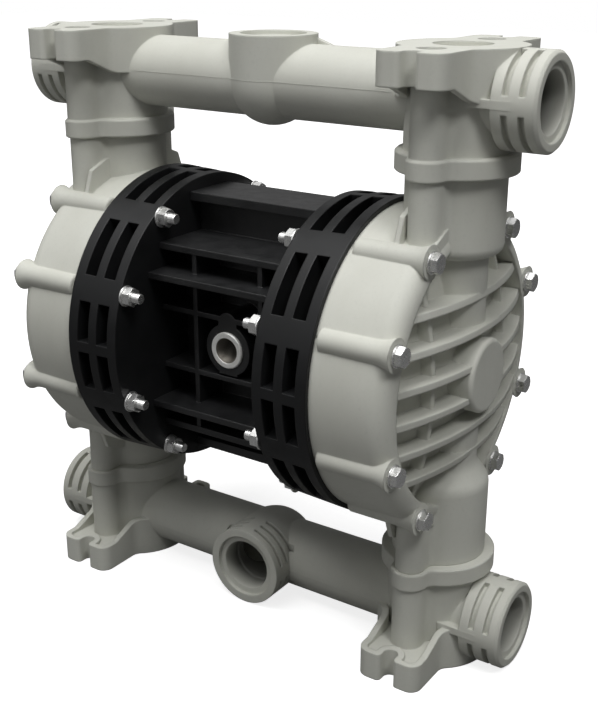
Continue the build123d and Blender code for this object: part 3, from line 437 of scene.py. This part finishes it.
own_finish = {"left_air_cover": matt_black, "right_air_cover": matt_black}
for row in frame["record"]["subparts"]:
    mesh = nodes[row["node"]].data
    mesh.materials.clear()
    mesh.materials.append(own_finish.get(row["node"], finishes[row["material_slot"]]))
    shade_smooth(mesh, CAD_SHARP_ANGLE)
print("finishes:", ", ".join(sorted(finishes)))

# %% [markdown]
# ## Dressing a new piece
#
# A new piece needs three things besides its shape: the finish that its slot names, the body that it moves
# with, and the CAD nodes that it stands for, which are then hidden. One helper does all three, so that none
# is forgotten.


# %% Dress
def dress(piece, slot_name, body="pump", hides=()):
    """Give a piece the finish that a slot names and its body, and hide the nodes that it stands for."""
    piece.data.materials.clear()
    piece.data.materials.append(finishes[slot_name])
    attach(piece, body)
    if hides:
        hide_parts(*hides)
    print(piece.name, len(piece.data.polygons), "faces")


print("dress helper ready")

# %% [markdown]
# ## The camera
#
# The camera stands where the photograph was taken from: to the pump's right front, a little above it. Its
# place, its three angles and its focal length were worked out from circles and right angles on the pump. The
# focal length was found in pixels, so the lens in millimetres is that number over the photograph's height,
# times the sensor's size.

# %% Camera
PHOTO_HEIGHT = 709
FOCAL_PIXELS = 1138.87
SENSOR = 36.0
CAMERA_PLACE = (0.489896, -0.694719, 0.512873)
azimuth, pitch, roll = np.radians([33.9, 20.01, 0.2])

camera = bpy.data.objects.new("camera", bpy.data.cameras.new("camera"))
bpy.context.scene.collection.objects.link(camera)
camera.data.sensor_fit = "AUTO"
camera.data.sensor_width = SENSOR
camera.data.lens = FOCAL_PIXELS * SENSOR / PHOTO_HEIGHT
camera.location = CAMERA_PLACE
forward = (-np.sin(azimuth) * np.cos(pitch), np.cos(azimuth) * np.cos(pitch), -np.sin(pitch))
turn = Vector(forward).to_track_quat("-Z", "Y").to_matrix().to_4x4()
camera.rotation_euler = (turn @ Matrix.Rotation(roll, 4, "Z")).to_euler()
bpy.context.scene.camera = camera
bpy.context.scene.view_settings.view_transform = "Standard"
print("camera at", tuple(round(v, 3) for v in camera.location), "lens", round(camera.data.lens, 2))

# %% [markdown]
# ## The room around the pump
#
# The photograph has a white background, yet the pump's undersides are dark, so the room can't be white all
# round. The camera sees a white sky. All other light meets a dim one, and what shiny faces mirror grows
# brighter with the height of the direction, as under a lit ceiling. That gives the steel its light and dark
# sides.

# %% World
SKY_LIGHT = 0.10
SKY_TOP = 1.0
SKY_LOW_DIRECTION, SKY_HIGH_DIRECTION = 0.1, 0.9


def by_ray(tree, ray, plain, special):
    """A shader that is special for one kind of ray, such as Is Camera Ray, and plain for all others."""
    path = tree.nodes.new("ShaderNodeLightPath")
    choose = tree.nodes.new("ShaderNodeMixShader")
    tree.links.new(path.outputs[ray], choose.inputs["Fac"])
    tree.links.new(plain, choose.inputs[1])
    tree.links.new(special, choose.inputs[2])
    return choose.outputs["Shader"]


def background(tree, strength):
    """A white background of one strength."""
    node = tree.nodes.new("ShaderNodeBackground")
    node.inputs["Color"].default_value = (1, 1, 1, 1)
    node.inputs["Strength"].default_value = strength
    return node.outputs["Background"]


def mirrored_sky(tree):
    """A background that is dim at the horizon and brighter with the direction's height."""
    where = tree.nodes.new("ShaderNodeTexCoord")
    parts = tree.nodes.new("ShaderNodeSeparateXYZ")
    tree.links.new(where.outputs["Generated"], parts.inputs[0])
    strength = spread(tree, parts.outputs["Z"], SKY_LIGHT, SKY_TOP, SKY_LOW_DIRECTION, SKY_HIGH_DIRECTION)
    sky = background(tree, 1.0)
    tree.links.new(strength, sky.node.inputs["Strength"])
    return sky


world = bpy.data.worlds.new("studio")
bpy.context.scene.world = world
world.use_nodes = True
tree = world.node_tree
tree.nodes.clear()
room = by_ray(tree, "Is Glossy Ray", background(tree, SKY_LIGHT), mirrored_sky(tree))
seen = by_ray(tree, "Is Camera Ray", room, background(tree, 1.0))
tree.links.new(seen, tree.nodes.new("ShaderNodeOutputWorld").inputs["Surface"])
print("world ready")

# %% [markdown]
# ## The floor
#
# The pump stands on white paper. For the camera the paper glows, more with the distance from the middle, so
# that it runs into the white sky and keeps only the pump's own soft shadow. For all other light it is a dark
# floor that throws little back, because the photograph's undersides are dark.

# %% Floor
FLOOR_HALF = 6
FLOOR_DROP = 0.2 * MM
FLOOR_BOUNCE = 0.15
PAPER_SHADE = 0.6
GLOW_NEAR, GLOW_FAR = 0.8, 1.05
GLOW_FROM, GLOW_TO = 0.45, 1.1


def diffuse(tree, shade):
    """A dull grey surface of one shade."""
    node = tree.nodes.new("ShaderNodeBsdfDiffuse")
    node.inputs["Color"].default_value = (shade, shade, shade, 1)
    return node.outputs["BSDF"]


corners = FLOOR_HALF * np.array([(-1, -1, 0), (1, -1, 0), (1, 1, 0), (-1, 1, 0)], float) - (0, 0, FLOOR_DROP)
floor = make_mesh("floor", corners, np.array([[0, 1, 2, 3]]))
paper = bpy.data.materials.new("white_paper")
paper.use_nodes = True
tree = paper.node_tree
tree.nodes.clear()
where = tree.nodes.new("ShaderNodeTexCoord")
distance = tree.nodes.new("ShaderNodeVectorMath")
distance.operation = "LENGTH"
tree.links.new(where.outputs["Object"], distance.inputs[0])
strength = spread(tree, distance.outputs["Value"], GLOW_NEAR, GLOW_FAR, GLOW_FROM, GLOW_TO)
glow = tree.nodes.new("ShaderNodeEmission")
tree.links.new(strength, glow.inputs["Strength"])
together = tree.nodes.new("ShaderNodeAddShader")
tree.links.new(diffuse(tree, PAPER_SHADE), together.inputs[0])
tree.links.new(glow.outputs["Emission"], together.inputs[1])
seen = by_ray(tree, "Is Camera Ray", diffuse(tree, FLOOR_BOUNCE), together.outputs["Shader"])
tree.links.new(seen, tree.nodes.new("ShaderNodeOutputMaterial").inputs["Surface"])
floor.data.materials.append(paper)
print("floor ready")

# %% [markdown]
# ## The lamps
#
# A wide soft lamp overhead does most of the work. A weak one in front fills the sides that face the camera,
# and a small one at the right front keeps the chamber's face readable.


# %% Lamps
def lamp(name, place, target, size, power):
    """A square area lamp at a place, turned towards a target."""
    light = bpy.data.lights.new(name, "AREA")
    light.shape = "SQUARE"
    light.size = size
    light.energy = power
    holder = bpy.data.objects.new(name, light)
    bpy.context.scene.collection.objects.link(holder)
    holder.location = place
    holder.rotation_euler = (Vector(target) - Vector(place)).to_track_quat("-Z", "Y").to_euler()


lamp("overhead", place=(-0.1, -0.7, 3.1), target=(0, 0, 0.2), size=2.2, power=83.0)
lamp("front", place=(-0.6, -1.9, 1.1), target=(0, 0, 0.15), size=1.2, power=3.5)
lamp("right_front", place=(1.4, -0.7, 2.1), target=(0, 0, 0.2), size=0.6, power=17.0)

# %% [markdown]
# ## Hexagon bolts and nuts
#
# A hexagon head is cut from hexagon bar, and a cone then takes off its corners. So its outline is the
# hexagon's radius at each angle, and where that radius passes the cone the height falls by the cone's slope.
# That one rule draws the curved edges on the six flats. The thread is a triangle wave wound round the shank:
# the radius depends on how far the point is along the shank less its share of one turn.

# %% Hexagon heads and threads
BOLT_CIRCLE = 110 * MM
BOLT_ANGLES = (22.3, 57.6)
BOLT_TIP_X = 47 * MM
BOLT_THREAD = 22 * MM
SEAT_X = 165.4 * MM
HEX_WIDTH = 13 * MM
HEAD_HEIGHT = 5.3 * MM
HEAD_OVERLAP = 0.5 * MM
NUT_HEIGHT = 6.5 * MM
HOLE_RADIUS = BOLT_RADIUS + 0.05 * MM
WASHER_HEIGHT = 1.6 * MM
CONE_CIRCLE, CONE_ANGLE = 0.475, 28
SEAT_CIRCLE, SEAT_SLOPE = 0.495, 0.5
HEX_SHARP_ANGLE = 20.0
THREAD_DEPTH = 0.33
TIP_TAPER, TIP_LENGTH = 0.45, 0.6

bolt_places = np.array([
    (0, side * BOLT_CIRCLE * np.cos(np.radians(a)), AXIS_HEIGHT + lift * BOLT_CIRCLE * np.sin(np.radians(a)))
    for a in BOLT_ANGLES for side in (-1, 1) for lift in (-1, 1)
])


def hexagon_radius(angle, width):
    """Distance from the middle to a hexagon's side: half the width over the cosine of the angle left over."""
    left_over = (angle + np.pi / 6) % (np.pi / 3) - np.pi / 6
    return width / 2 / np.cos(left_over)


def along_x(x, radius, angle):
    """Points at distance x along the shaft direction, and at a radius and an angle round it."""
    x, radius, angle = np.broadcast_arrays(x, radius, angle)
    return np.stack([x, radius * np.cos(angle), radius * np.sin(angle)], -1).reshape(-1, 3)


def hexagon_head(start, height, width, bore=0.0, both=False, columns=48):
    """A hexagon of a given height from x = start: rings of points, each the lesser of hexagon and cone.

    The cone meets the top in a circle. Where the hexagon is wider than that circle, its edge drops by the
    difference times the tangent of the cone's angle. A nut has the cone on both faces, and a bolt's head has
    only a slight one under it.
    """
    angle = turn_angles(columns)
    outline = hexagon_radius(angle, width)
    circle = CONE_CIRCLE * width
    slope = math.tan(math.radians(CONE_ANGLE))
    drop = np.maximum(outline - circle, 0) * slope
    low_drop = drop if both else np.maximum(outline - SEAT_CIRCLE * width, 0) * slope * SEAT_SLOPE
    ones = np.ones(columns)
    hole = max(bore, POLE) * ones
    rings = [
        (start, hole), (start, circle * ones), (start + low_drop, outline),
        (start + height - drop, outline), (start + height, circle * ones), (start + height, hole),
    ]
    points = np.concatenate([along_x(x, r, angle) for x, r in rings])
    faces = grid_faces(len(rings), columns)
    if bore:
        last = (len(rings) - 1) * columns
        c = np.arange(columns)
        nxt = (c + 1) % columns
        faces = np.concatenate([faces, np.stack([last + c, last + nxt, nxt, c], -1)])
    return points, faces


def threaded_rod(start, end, thread_end, radius, pitch, columns=24):
    """A rod from its tip at x = start to x = end, threaded from the tip to thread_end.

    Radius = full radius less a third of the pitch times the triangle wave of (x / pitch - angle / one turn).
    The wave fades out over one pitch at each end, and the tip tapers by a share of the pitch.
    """
    angle = turn_angles(columns)
    rows = int(round((thread_end - start) / pitch * ROWS_PER_TURN))
    x = np.linspace(start, thread_end, rows)[:, None]
    phase = (x / pitch - angle[None, :] / TAU) % 1.0
    depth = THREAD_DEPTH * pitch * np.abs(2 * phase - 1) * np.clip((x - start) / pitch, 0, 1)
    cut = np.clip((thread_end - x) / pitch, 0, 1)
    taper = TIP_TAPER * pitch * np.clip(1 - (x - start) / (TIP_LENGTH * pitch), 0, 1)
    body = along_x(x, radius - depth * cut - taper, angle[None, :])
    tip = along_x(start, np.full(columns, POLE), angle)
    shank = along_x(end, np.full(columns, radius), angle)
    cap = along_x(end, np.full(columns, POLE), angle)
    return np.concatenate([tip, body, shank, cap]), grid_faces(rows + 3, columns)


def both_sides(stem, points, faces):
    """One fastener at all eight bolts, on the right and on the left, each side standing for its CAD node."""
    right = repeated(points, faces, bolt_places)
    for side, pair in (("right", right), ("left", half_turn(*right))):
        piece = make_mesh(f"{side}_{stem}_detailed", *pair, sharp_angle=HEX_SHARP_ANGLE)
        dress(piece, "steel_fastener", hides=(f"{side}_{stem}",))


under_head = SEAT_X + WASHER_HEIGHT
head = hexagon_head(under_head, HEAD_HEIGHT, HEX_WIDTH)
rod = threaded_rod(BOLT_TIP_X, under_head + HEAD_OVERLAP, BOLT_TIP_X + BOLT_THREAD, BOLT_RADIUS, PITCH)
both_sides("chamber_bolts", *joined(head, rod))
nut = hexagon_head(COVER_X - WASHER_HEIGHT - NUT_HEIGHT, NUT_HEIGHT, HEX_WIDTH, bore=HOLE_RADIUS, both=True)
both_sides("nuts", *nut)

# %% [markdown]
# ## Washers
#
# A washer is stamped from sheet, which rolls its outer corners and leaves its hole square. It is a turned
# surface: a section is walked once round its outline, and each of its points becomes a circle about an axis.
# Which axis it is comes from the rule that places a distance, a radius and an angle, so the same helper
# serves for the diaphragms, the seals and the seat rings further down.

# %% Turned surfaces and washers
WASHER_RADIUS = 8 * MM
WASHER_ROLL = 0.35


def turned(section, place, columns=72):
    """The surface of a closed section of (distance, radius) points, each turned into a circle by place."""
    section = np.asarray(section, float)
    points = place(section[:, 0][:, None], section[:, 1][:, None], turn_angles(columns)[None, :])
    return points, grid_faces(len(section), columns)


def washer_section(start, height, inner, outer):
    """A rectangle, once round, whose two outer corners are quarter circles."""
    roll = WASHER_ROLL * height
    end = start + height
    corner = np.linspace(0, np.pi / 2, 4)
    low = np.column_stack([start + roll - roll * np.cos(corner), outer - roll + roll * np.sin(corner)])
    high = np.column_stack([end - roll + roll * np.sin(corner), outer - roll + roll * np.cos(corner)])
    return np.concatenate([[(start, inner)], low, high, [(end, inner)], [(start, inner)]])


for stem, start in (("head_washers", SEAT_X), ("nut_washers", COVER_X - WASHER_HEIGHT)):
    section = washer_section(start, WASHER_HEIGHT, HOLE_RADIUS, WASHER_RADIUS)
    both_sides(stem, *turned(section, along_x, columns=36))

# %% [markdown]
# ## The threads inside the air connections
#
# The inlet and exhaust inserts hold a parallel pipe thread. Along the bore the radius is the bore's radius
# plus a triangle wave of (distance / pitch - angle / one turn), so one line of the wave winds round and round
# as a helix. The face is a flat ring with a small chamfer that leads into the thread.

# %% Threaded inserts
INSERT_BACK = 41 * MM
INSERT_RADIUS = 14.1 * MM
INSERT_EDGE = 0.7 * MM
BACK_RING = 1.2 * MM
FACE_RING = 0.8 * MM
CHAMFER_DEPTH, CHAMFER_RING = 0.4 * MM, 0.3 * MM
THREAD_START = 0.8 * MM
PIPE_THREAD_DEPTH = 1.1 * MM
PIPE_PITCH = 1.814 * MM


def along_y(y, radius, angle):
    """Points at distance y along the air connection, and at a radius and an angle round it."""
    y, radius, angle = np.broadcast_arrays(y, radius, angle)
    return np.stack([radius * np.sin(angle), y, AXIS_HEIGHT + radius * np.cos(angle)], -1).reshape(-1, 3)


def pipe_insert(front, back, bore, outer, pitch, columns=72):
    """A threaded insert along y: its outside, its chamfered front ring, and the helix of its thread."""
    angle = turn_angles(columns)
    inwards = np.sign(back - front)
    outside = [
        (back, bore + BACK_RING), (back, outer - INSERT_EDGE), (back - inwards * INSERT_EDGE, outer),
        (front + inwards * INSERT_EDGE, outer), (front, outer - INSERT_EDGE), (front, bore + FACE_RING),
        (front + inwards * CHAMFER_DEPTH, bore + CHAMFER_RING),
    ]
    rings = [along_y(y, np.full(columns, r), angle) for y, r in outside]
    start = front + inwards * THREAD_START
    rows = int(round(abs(back - start) / pitch * ROWS_PER_TURN))
    y = np.linspace(start, back, rows)[:, None]
    phase = ((y - start) / pitch - angle[None, :] / TAU) % 1.0
    lead = np.clip(abs(y - start) / pitch, 0, 1)
    thread = along_y(y, bore + PIPE_THREAD_DEPTH * lead * np.abs(2 * phase - 1), angle[None, :])
    return np.concatenate([*rings, thread, rings[0]]), grid_faces(len(outside) + rows + 1, columns)


for stem, side in (("air_inlet_insert", -1), ("exhaust_insert", 1)):
    pair = pipe_insert(side * INSERT_FRONT, side * INSERT_BACK, INSERT_BORE, INSERT_RADIUS, PIPE_PITCH)
    if side < 0:
        pair = flipped(*pair)
    dress(make_mesh(stem + "_threaded", *pair), "port_insert", hides=(stem,))

# %% [markdown]
# ## Socket-head screws that tie the manifolds on
#
# The heads sit at the bottom of round pockets under each foot and in each end block. The section of the head
# has rolled edges, and the ring at the mouth of its socket turns from a circle into a hexagon. The upper
# screws are the lower ones upside down, so one function takes the level of the head and of the tip.

# %% Tie screws
TIE_OFFSET = 44 * MM
TIE_FACE = 4 * MM
TIE_TIP = 108.5 * MM
TIE_HEAD_HEIGHT = 8 * MM
TIE_HEAD_RADIUS = 6.5 * MM
TIE_THREAD = 22 * MM
TIE_THREAD_DEPTH = 0.4 * MM
KEY_WIDTH = 6 * MM
KEY_MOUTH = 0.6
KEY_DEPTH = 0.5
DRILL_POINT = 0.8 * MM
KEY_CHAMFER = 0.4 * MM
ROLL, ROLL_MIDDLE = 0.7 * MM, 0.2 * MM


def along_z(z, radius, angle):
    """Points at height z, and at a radius and an angle round an upright axis through the origin."""
    z, radius, angle = np.broadcast_arrays(z, radius, angle)
    return np.stack([radius * np.cos(angle), radius * np.sin(angle), z], -1).reshape(-1, 3)


def socket_screw(face, tip, columns=36):
    """A socket-head screw pointing from face to tip along z, as (points, faces).

    Rings run from the bottom of the socket over the head to the shank, and the thread's radius is the
    shank's less a triangle wave of (distance / pitch - angle / one turn).
    """
    angle = turn_angles(columns)
    up = np.sign(tip - face)
    ones = np.ones(columns)
    hexagon = hexagon_radius(angle, KEY_WIDTH)
    bottom = face + up * KEY_DEPTH * TIE_HEAD_HEIGHT
    neck = face + up * TIE_HEAD_HEIGHT
    thread_start = tip - up * TIE_THREAD
    rings = [
        (bottom + up * DRILL_POINT, POLE * ones), (bottom, hexagon), (face + up * KEY_CHAMFER, hexagon),
        (face, KEY_WIDTH * KEY_MOUTH * ones), (face, (TIE_HEAD_RADIUS - ROLL) * ones),
        (face + up * ROLL_MIDDLE, (TIE_HEAD_RADIUS - ROLL_MIDDLE) * ones),
        (face + up * ROLL, TIE_HEAD_RADIUS * ones), (neck, TIE_HEAD_RADIUS * ones),
        (neck, BOLT_RADIUS * ones), (thread_start, BOLT_RADIUS * ones),
    ]
    rows = int(round(TIE_THREAD / PITCH * ROWS_PER_TURN))
    z = np.linspace(thread_start, tip, rows)[:, None]
    phase = ((z - thread_start) / PITCH - angle[None, :] / TAU) % 1.0
    points = [along_z(level, r, angle) for level, r in rings]
    points.append(along_z(z, BOLT_RADIUS - TIE_THREAD_DEPTH * np.abs(2 * phase - 1), angle[None, :]))
    points.append(along_z(tip, POLE * ones, angle))
    faces = grid_faces(len(rings) + rows + 1, columns)
    return np.concatenate(points), faces if up > 0 else faces[:, ::-1]


tie_places = [(x, y, 0) for x in (-COLUMN_X, COLUMN_X) for y in (-TIE_OFFSET, TIE_OFFSET)]
for stem, face, tip in (
        ("bottom_tie_screws", TIE_FACE, TIE_TIP),
        ("top_tie_screws", 2 * AXIS_HEIGHT - TIE_FACE, 2 * AXIS_HEIGHT - TIE_TIP)):
    screws = make_mesh(stem + "_detailed", *repeated(*socket_screw(face, tip), tie_places))
    dress(screws, "steel_fastener", hides=(stem,))

# %% [markdown]
# ## Check balls
#
# A moulded ball is a sphere with the faintest ridge where the two halves of its mould met: the radius is the
# ball's radius plus a narrow bell curve of the height over the middle. At rest each ball stands a small gap
# off the round lip of its seat. So its middle is over the joint by one side of a right triangle: the root of
# (ball radius plus gap) squared less lip radius squared.

# %% Balls
BALL_RADIUS = 21 * MM
BALL_GAP = 0.3 * MM
SEAT_LIP = 18.5 * MM
BALL_RISE = math.sqrt((BALL_RADIUS + BALL_GAP) ** 2 - SEAT_LIP**2)
LOW_JOINT = 82.5 * MM
HIGH_JOINT = 2 * AXIS_HEIGHT - LOW_JOINT
RIDGE = 0.05 * MM
RIDGE_WIDTH = 0.8 * MM
ROW_CROWDING = 0.18


def moulded_ball(radius, rows=41, columns=64):
    """Sphere by latitude and longitude, its radius raised by a bell curve in a narrow band at the middle.

    The rows are crowded towards the middle by taking a share of the sine of twice the latitude from it.
    """
    latitude = np.linspace(-np.pi / 2, np.pi / 2, rows)[:, None]
    latitude = latitude - ROW_CROWDING * np.sin(2 * latitude)
    reach = radius - RIDGE + RIDGE * np.exp(-((latitude * radius / RIDGE_WIDTH) ** 2))
    angle = turn_angles(columns)[None, :]
    return along_z(reach * np.sin(latitude), reach * np.cos(latitude), angle), grid_faces(rows, columns)


points, faces = moulded_ball(BALL_RADIUS)
for level, joint in (("suction", LOW_JOINT), ("discharge", HIGH_JOINT)):
    for side, x in (("left", -COLUMN_X), ("right", COLUMN_X)):
        name = f"{side}_{level}_ball"
        ball = make_mesh(name + "_moulded", points + (x, 0, joint + BALL_RISE), faces, sharp_angle=60)
        dress(ball, "valve_ball", name, hides=(name,))

# %% [markdown]
# ## Diaphragms
#
# Each diaphragm is held at its rim by the chamber and the cover, and in the middle by the two plates on the
# shaft. Between them runs one half-round convolution. Its middle line is flat where it is clamped, and in the
# roll its distance falls by a sine arch of the radius. The two skins lie half a thickness each side of it,
# with fine ribs on the free part and a slightly thicker bead at the rim. In the real pump the rubber moves
# with the shaft inside the plates and stays with the pump outside the roll.

# %% Diaphragm surface
DIAPHRAGM_X = 104.5 * MM
DIAPHRAGM_THICKNESS = 4 * MM
STUD_HOLE = 6.05 * MM
ROLL_START, ROLL_END = 48 * MM, 82 * MM
ROLL_DEPTH, ROLL_FULLNESS = 8 * MM, 0.85
RIB_HEIGHT, RIB_PITCH = 0.12 * MM, 2.5 * MM
BEAD_RADIUS = 100 * MM
BEAD_START, BEAD_RISE, BEAD_EXTRA = 92 * MM, 4 * MM, 0.35 * MM
RIM_ROUND = 0.8 * MM


def smooth_step(value):
    """0 below 0, 1 above 1, and between them three squares less two cubes of the value."""
    value = np.clip(value, 0, 1)
    return value * value * (3 - 2 * value)


def around_shaft(x, radius, angle):
    """Points round the pump's shaft axis."""
    return along_x(x, radius, angle) + (0, 0, AXIS_HEIGHT)


def diaphragm_section(rows=110):
    """Closed section: the far skin from the stud hole out to the rim, round the bead, and the near skin back."""
    radius = np.linspace(STUD_HOLE, BEAD_RADIUS, rows)
    share = np.clip((radius - ROLL_START) / (ROLL_END - ROLL_START), 0, 1)
    ribs = RIB_HEIGHT * np.cos(TAU * radius / RIB_PITCH) * np.sin(np.pi * share)
    half = DIAPHRAGM_THICKNESS / 2 + BEAD_EXTRA * smooth_step((radius - BEAD_START) / BEAD_RISE)
    middle = DIAPHRAGM_X - ROLL_DEPTH * np.sin(np.pi * share) ** ROLL_FULLNESS
    flat = radius < BEAD_RADIUS - RIM_ROUND
    far = np.column_stack([middle + half + ribs, radius])[flat]
    near = np.column_stack([middle - half + ribs, radius])[flat]
    angle = np.linspace(0, np.pi, 9)[1:-1]
    rim = np.column_stack([
        DIAPHRAGM_X + half[-1] * np.cos(angle), BEAD_RADIUS - RIM_ROUND + RIM_ROUND * np.sin(angle)])
    return np.concatenate([far, rim, near[::-1], far[:1]])


right_pair = turned(diaphragm_section(), around_shaft, columns=96)
for side, pair, x in (("right", right_pair, DIAPHRAGM_X), ("left", half_turn(*right_pair), -DIAPHRAGM_X)):
    piece = make_mesh(f"{side}_diaphragm_moulded", *flipped(*pair), sharp_angle=50)
    piece.data.materials.append(finishes["black_rubber"])
    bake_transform(piece)
    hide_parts(f"{side}_diaphragm")
    print(piece.name, len(piece.data.polygons), "faces")

# %% [markdown]
# ## Seals
#
# The shaft seals are lip seals: a U-shaped section whose inner lip leans on the shaft. The rings under the
# valve seats are plain circles turned about the column.

# %% Shaft seals and seat rings
SHAFT_RADIUS = 11 * MM
BUSH_RADIUS = 16 * MM
SEAL_LENGTH = 6 * MM
RING_RADIUS = 24.5 * MM
RING_SECTION = 1.5 * MM
SEAT_THICKNESS = 8 * MM


def lip_seal(start, length, inner, outer):
    """Section of a U-cup, once round: its square back, its outer lip, the groove, and the lip on the shaft."""
    end, groove = start + length, start + 0.5 * length
    return [
        (start, inner + 0.5 * MM), (start, outer - 0.3 * MM), (start + 0.3 * MM, outer),
        (end - 0.4 * MM, outer), (end, outer - 0.4 * MM), (end, outer - 1.1 * MM),
        (groove, outer - 1.7 * MM), (start + 0.45 * length, (inner + outer) / 2), (groove, inner + 1.5 * MM),
        (end - 0.2 * MM, inner + 0.9 * MM), (end - 0.3 * MM, inner + 0.1 * MM),
        (start + 0.6 * length, inner + 0.3 * MM), (start, inner + 0.5 * MM),
    ]


def ring_section(height, radius, section_radius, points=17):
    """A circle of section_radius, once round, at a height and a distance from the axis."""
    turn = np.linspace(0, TAU, points)
    return np.column_stack([height + section_radius * np.sin(turn), radius + section_radius * np.cos(turn)])


right_seal = turned(lip_seal(COVER_X, SEAL_LENGTH, SHAFT_RADIUS, BUSH_RADIUS), around_shaft)
seals = make_mesh("shaft_seals_lipped", *joined(right_seal, half_turn(*right_seal)), sharp_angle=40)
dress(seals, "black_rubber", hides=("shaft_seals",))

ring_places = [(-COLUMN_X, 0, 0), (COLUMN_X, 0, 0)]
for stem, joint in (("suction_seat_rings", LOW_JOINT), ("discharge_seat_rings", HIGH_JOINT)):
    circle = ring_section(joint - SEAT_THICKNESS + RING_SECTION, RING_RADIUS, RING_SECTION)
    rings = make_mesh(stem + "_round", *repeated(*turned(circle, along_z), ring_places), sharp_angle=60)
    dress(rings, "black_rubber", hides=(stem,))

# %% [markdown]
# ## Mould lines on the pipes
#
# The two halves of the mould met along the front and the back of each pipe and left a fine raised line a
# little off the middle. In plan the line keeps to whichever sticks out more, the pipe or the round boss in
# its middle: the larger of a constant and the boss's half circle. Across the line the height is an arch. The
# lower pipe's boss carries the front port, so the lower lines stop at each side of the boss.

# %% Mould lines
PIPE_RADIUS = 26.9 * MM
PIPE_END_X = 113 * MM
BOSS_RADIUS = 32.5 * MM
LINE_LIFT = 2 * MM
LINE_HEIGHT, LINE_ROOT = 0.32 * MM, 0.12 * MM
LINE_HALF_WIDTH = 0.45 * MM


def mould_line(first_x, last_x, pipe_z, lift, boss, side, rows=90, across=7):
    """A strip from first_x to last_x on one side of a pipe; boss is the radius of the boss that it passes.

    Its reach is the larger of the pipe's half chord and the boss's circle. Each row steps across the line,
    and stands out from the reach by the arch 1 - step squared, along the reach's own normal in plan.
    """
    x = np.linspace(first_x, last_x, rows)
    reach = np.full(rows, math.sqrt(PIPE_RADIUS**2 - lift**2))
    if boss:
        reach = np.maximum(reach, np.sqrt(np.maximum(boss**2 - x**2, 0)))
    slope = np.gradient(reach, x)
    outward = np.column_stack([-slope, np.ones(rows)]) / np.sqrt(1 + slope**2)[:, None]
    step = np.linspace(-1, 1, across)
    height = LINE_HEIGHT * (1 - step**2) - LINE_ROOT
    plan = np.column_stack([x, reach])[:, None, :] + outward[:, None, :] * height[None, :, None]
    z = pipe_z + lift + LINE_HALF_WIDTH * step[None, :] + np.zeros((rows, 1))
    points = np.stack([plan[..., 0], side * plan[..., 1], z], -1).reshape(-1, 3)
    faces = grid_faces(rows, across, closed=False)
    return points, faces if side < 0 else faces[:, ::-1]


lines = []
for side in (-1, 1):
    lines.append(mould_line(-PIPE_END_X, PIPE_END_X, PIPE_HIGH, LINE_LIFT, BOSS_RADIUS, side))
    for first, last in ((-PIPE_END_X, -BOSS_RADIUS), (BOSS_RADIUS, PIPE_END_X)):
        lines.append(mould_line(first, last, PIPE_LOW, -LINE_LIFT, 0, side, rows=40))
dress(make_mesh("pipe_mould_lines", *joined(*lines), sharp_angle=60), "grey_plastic")
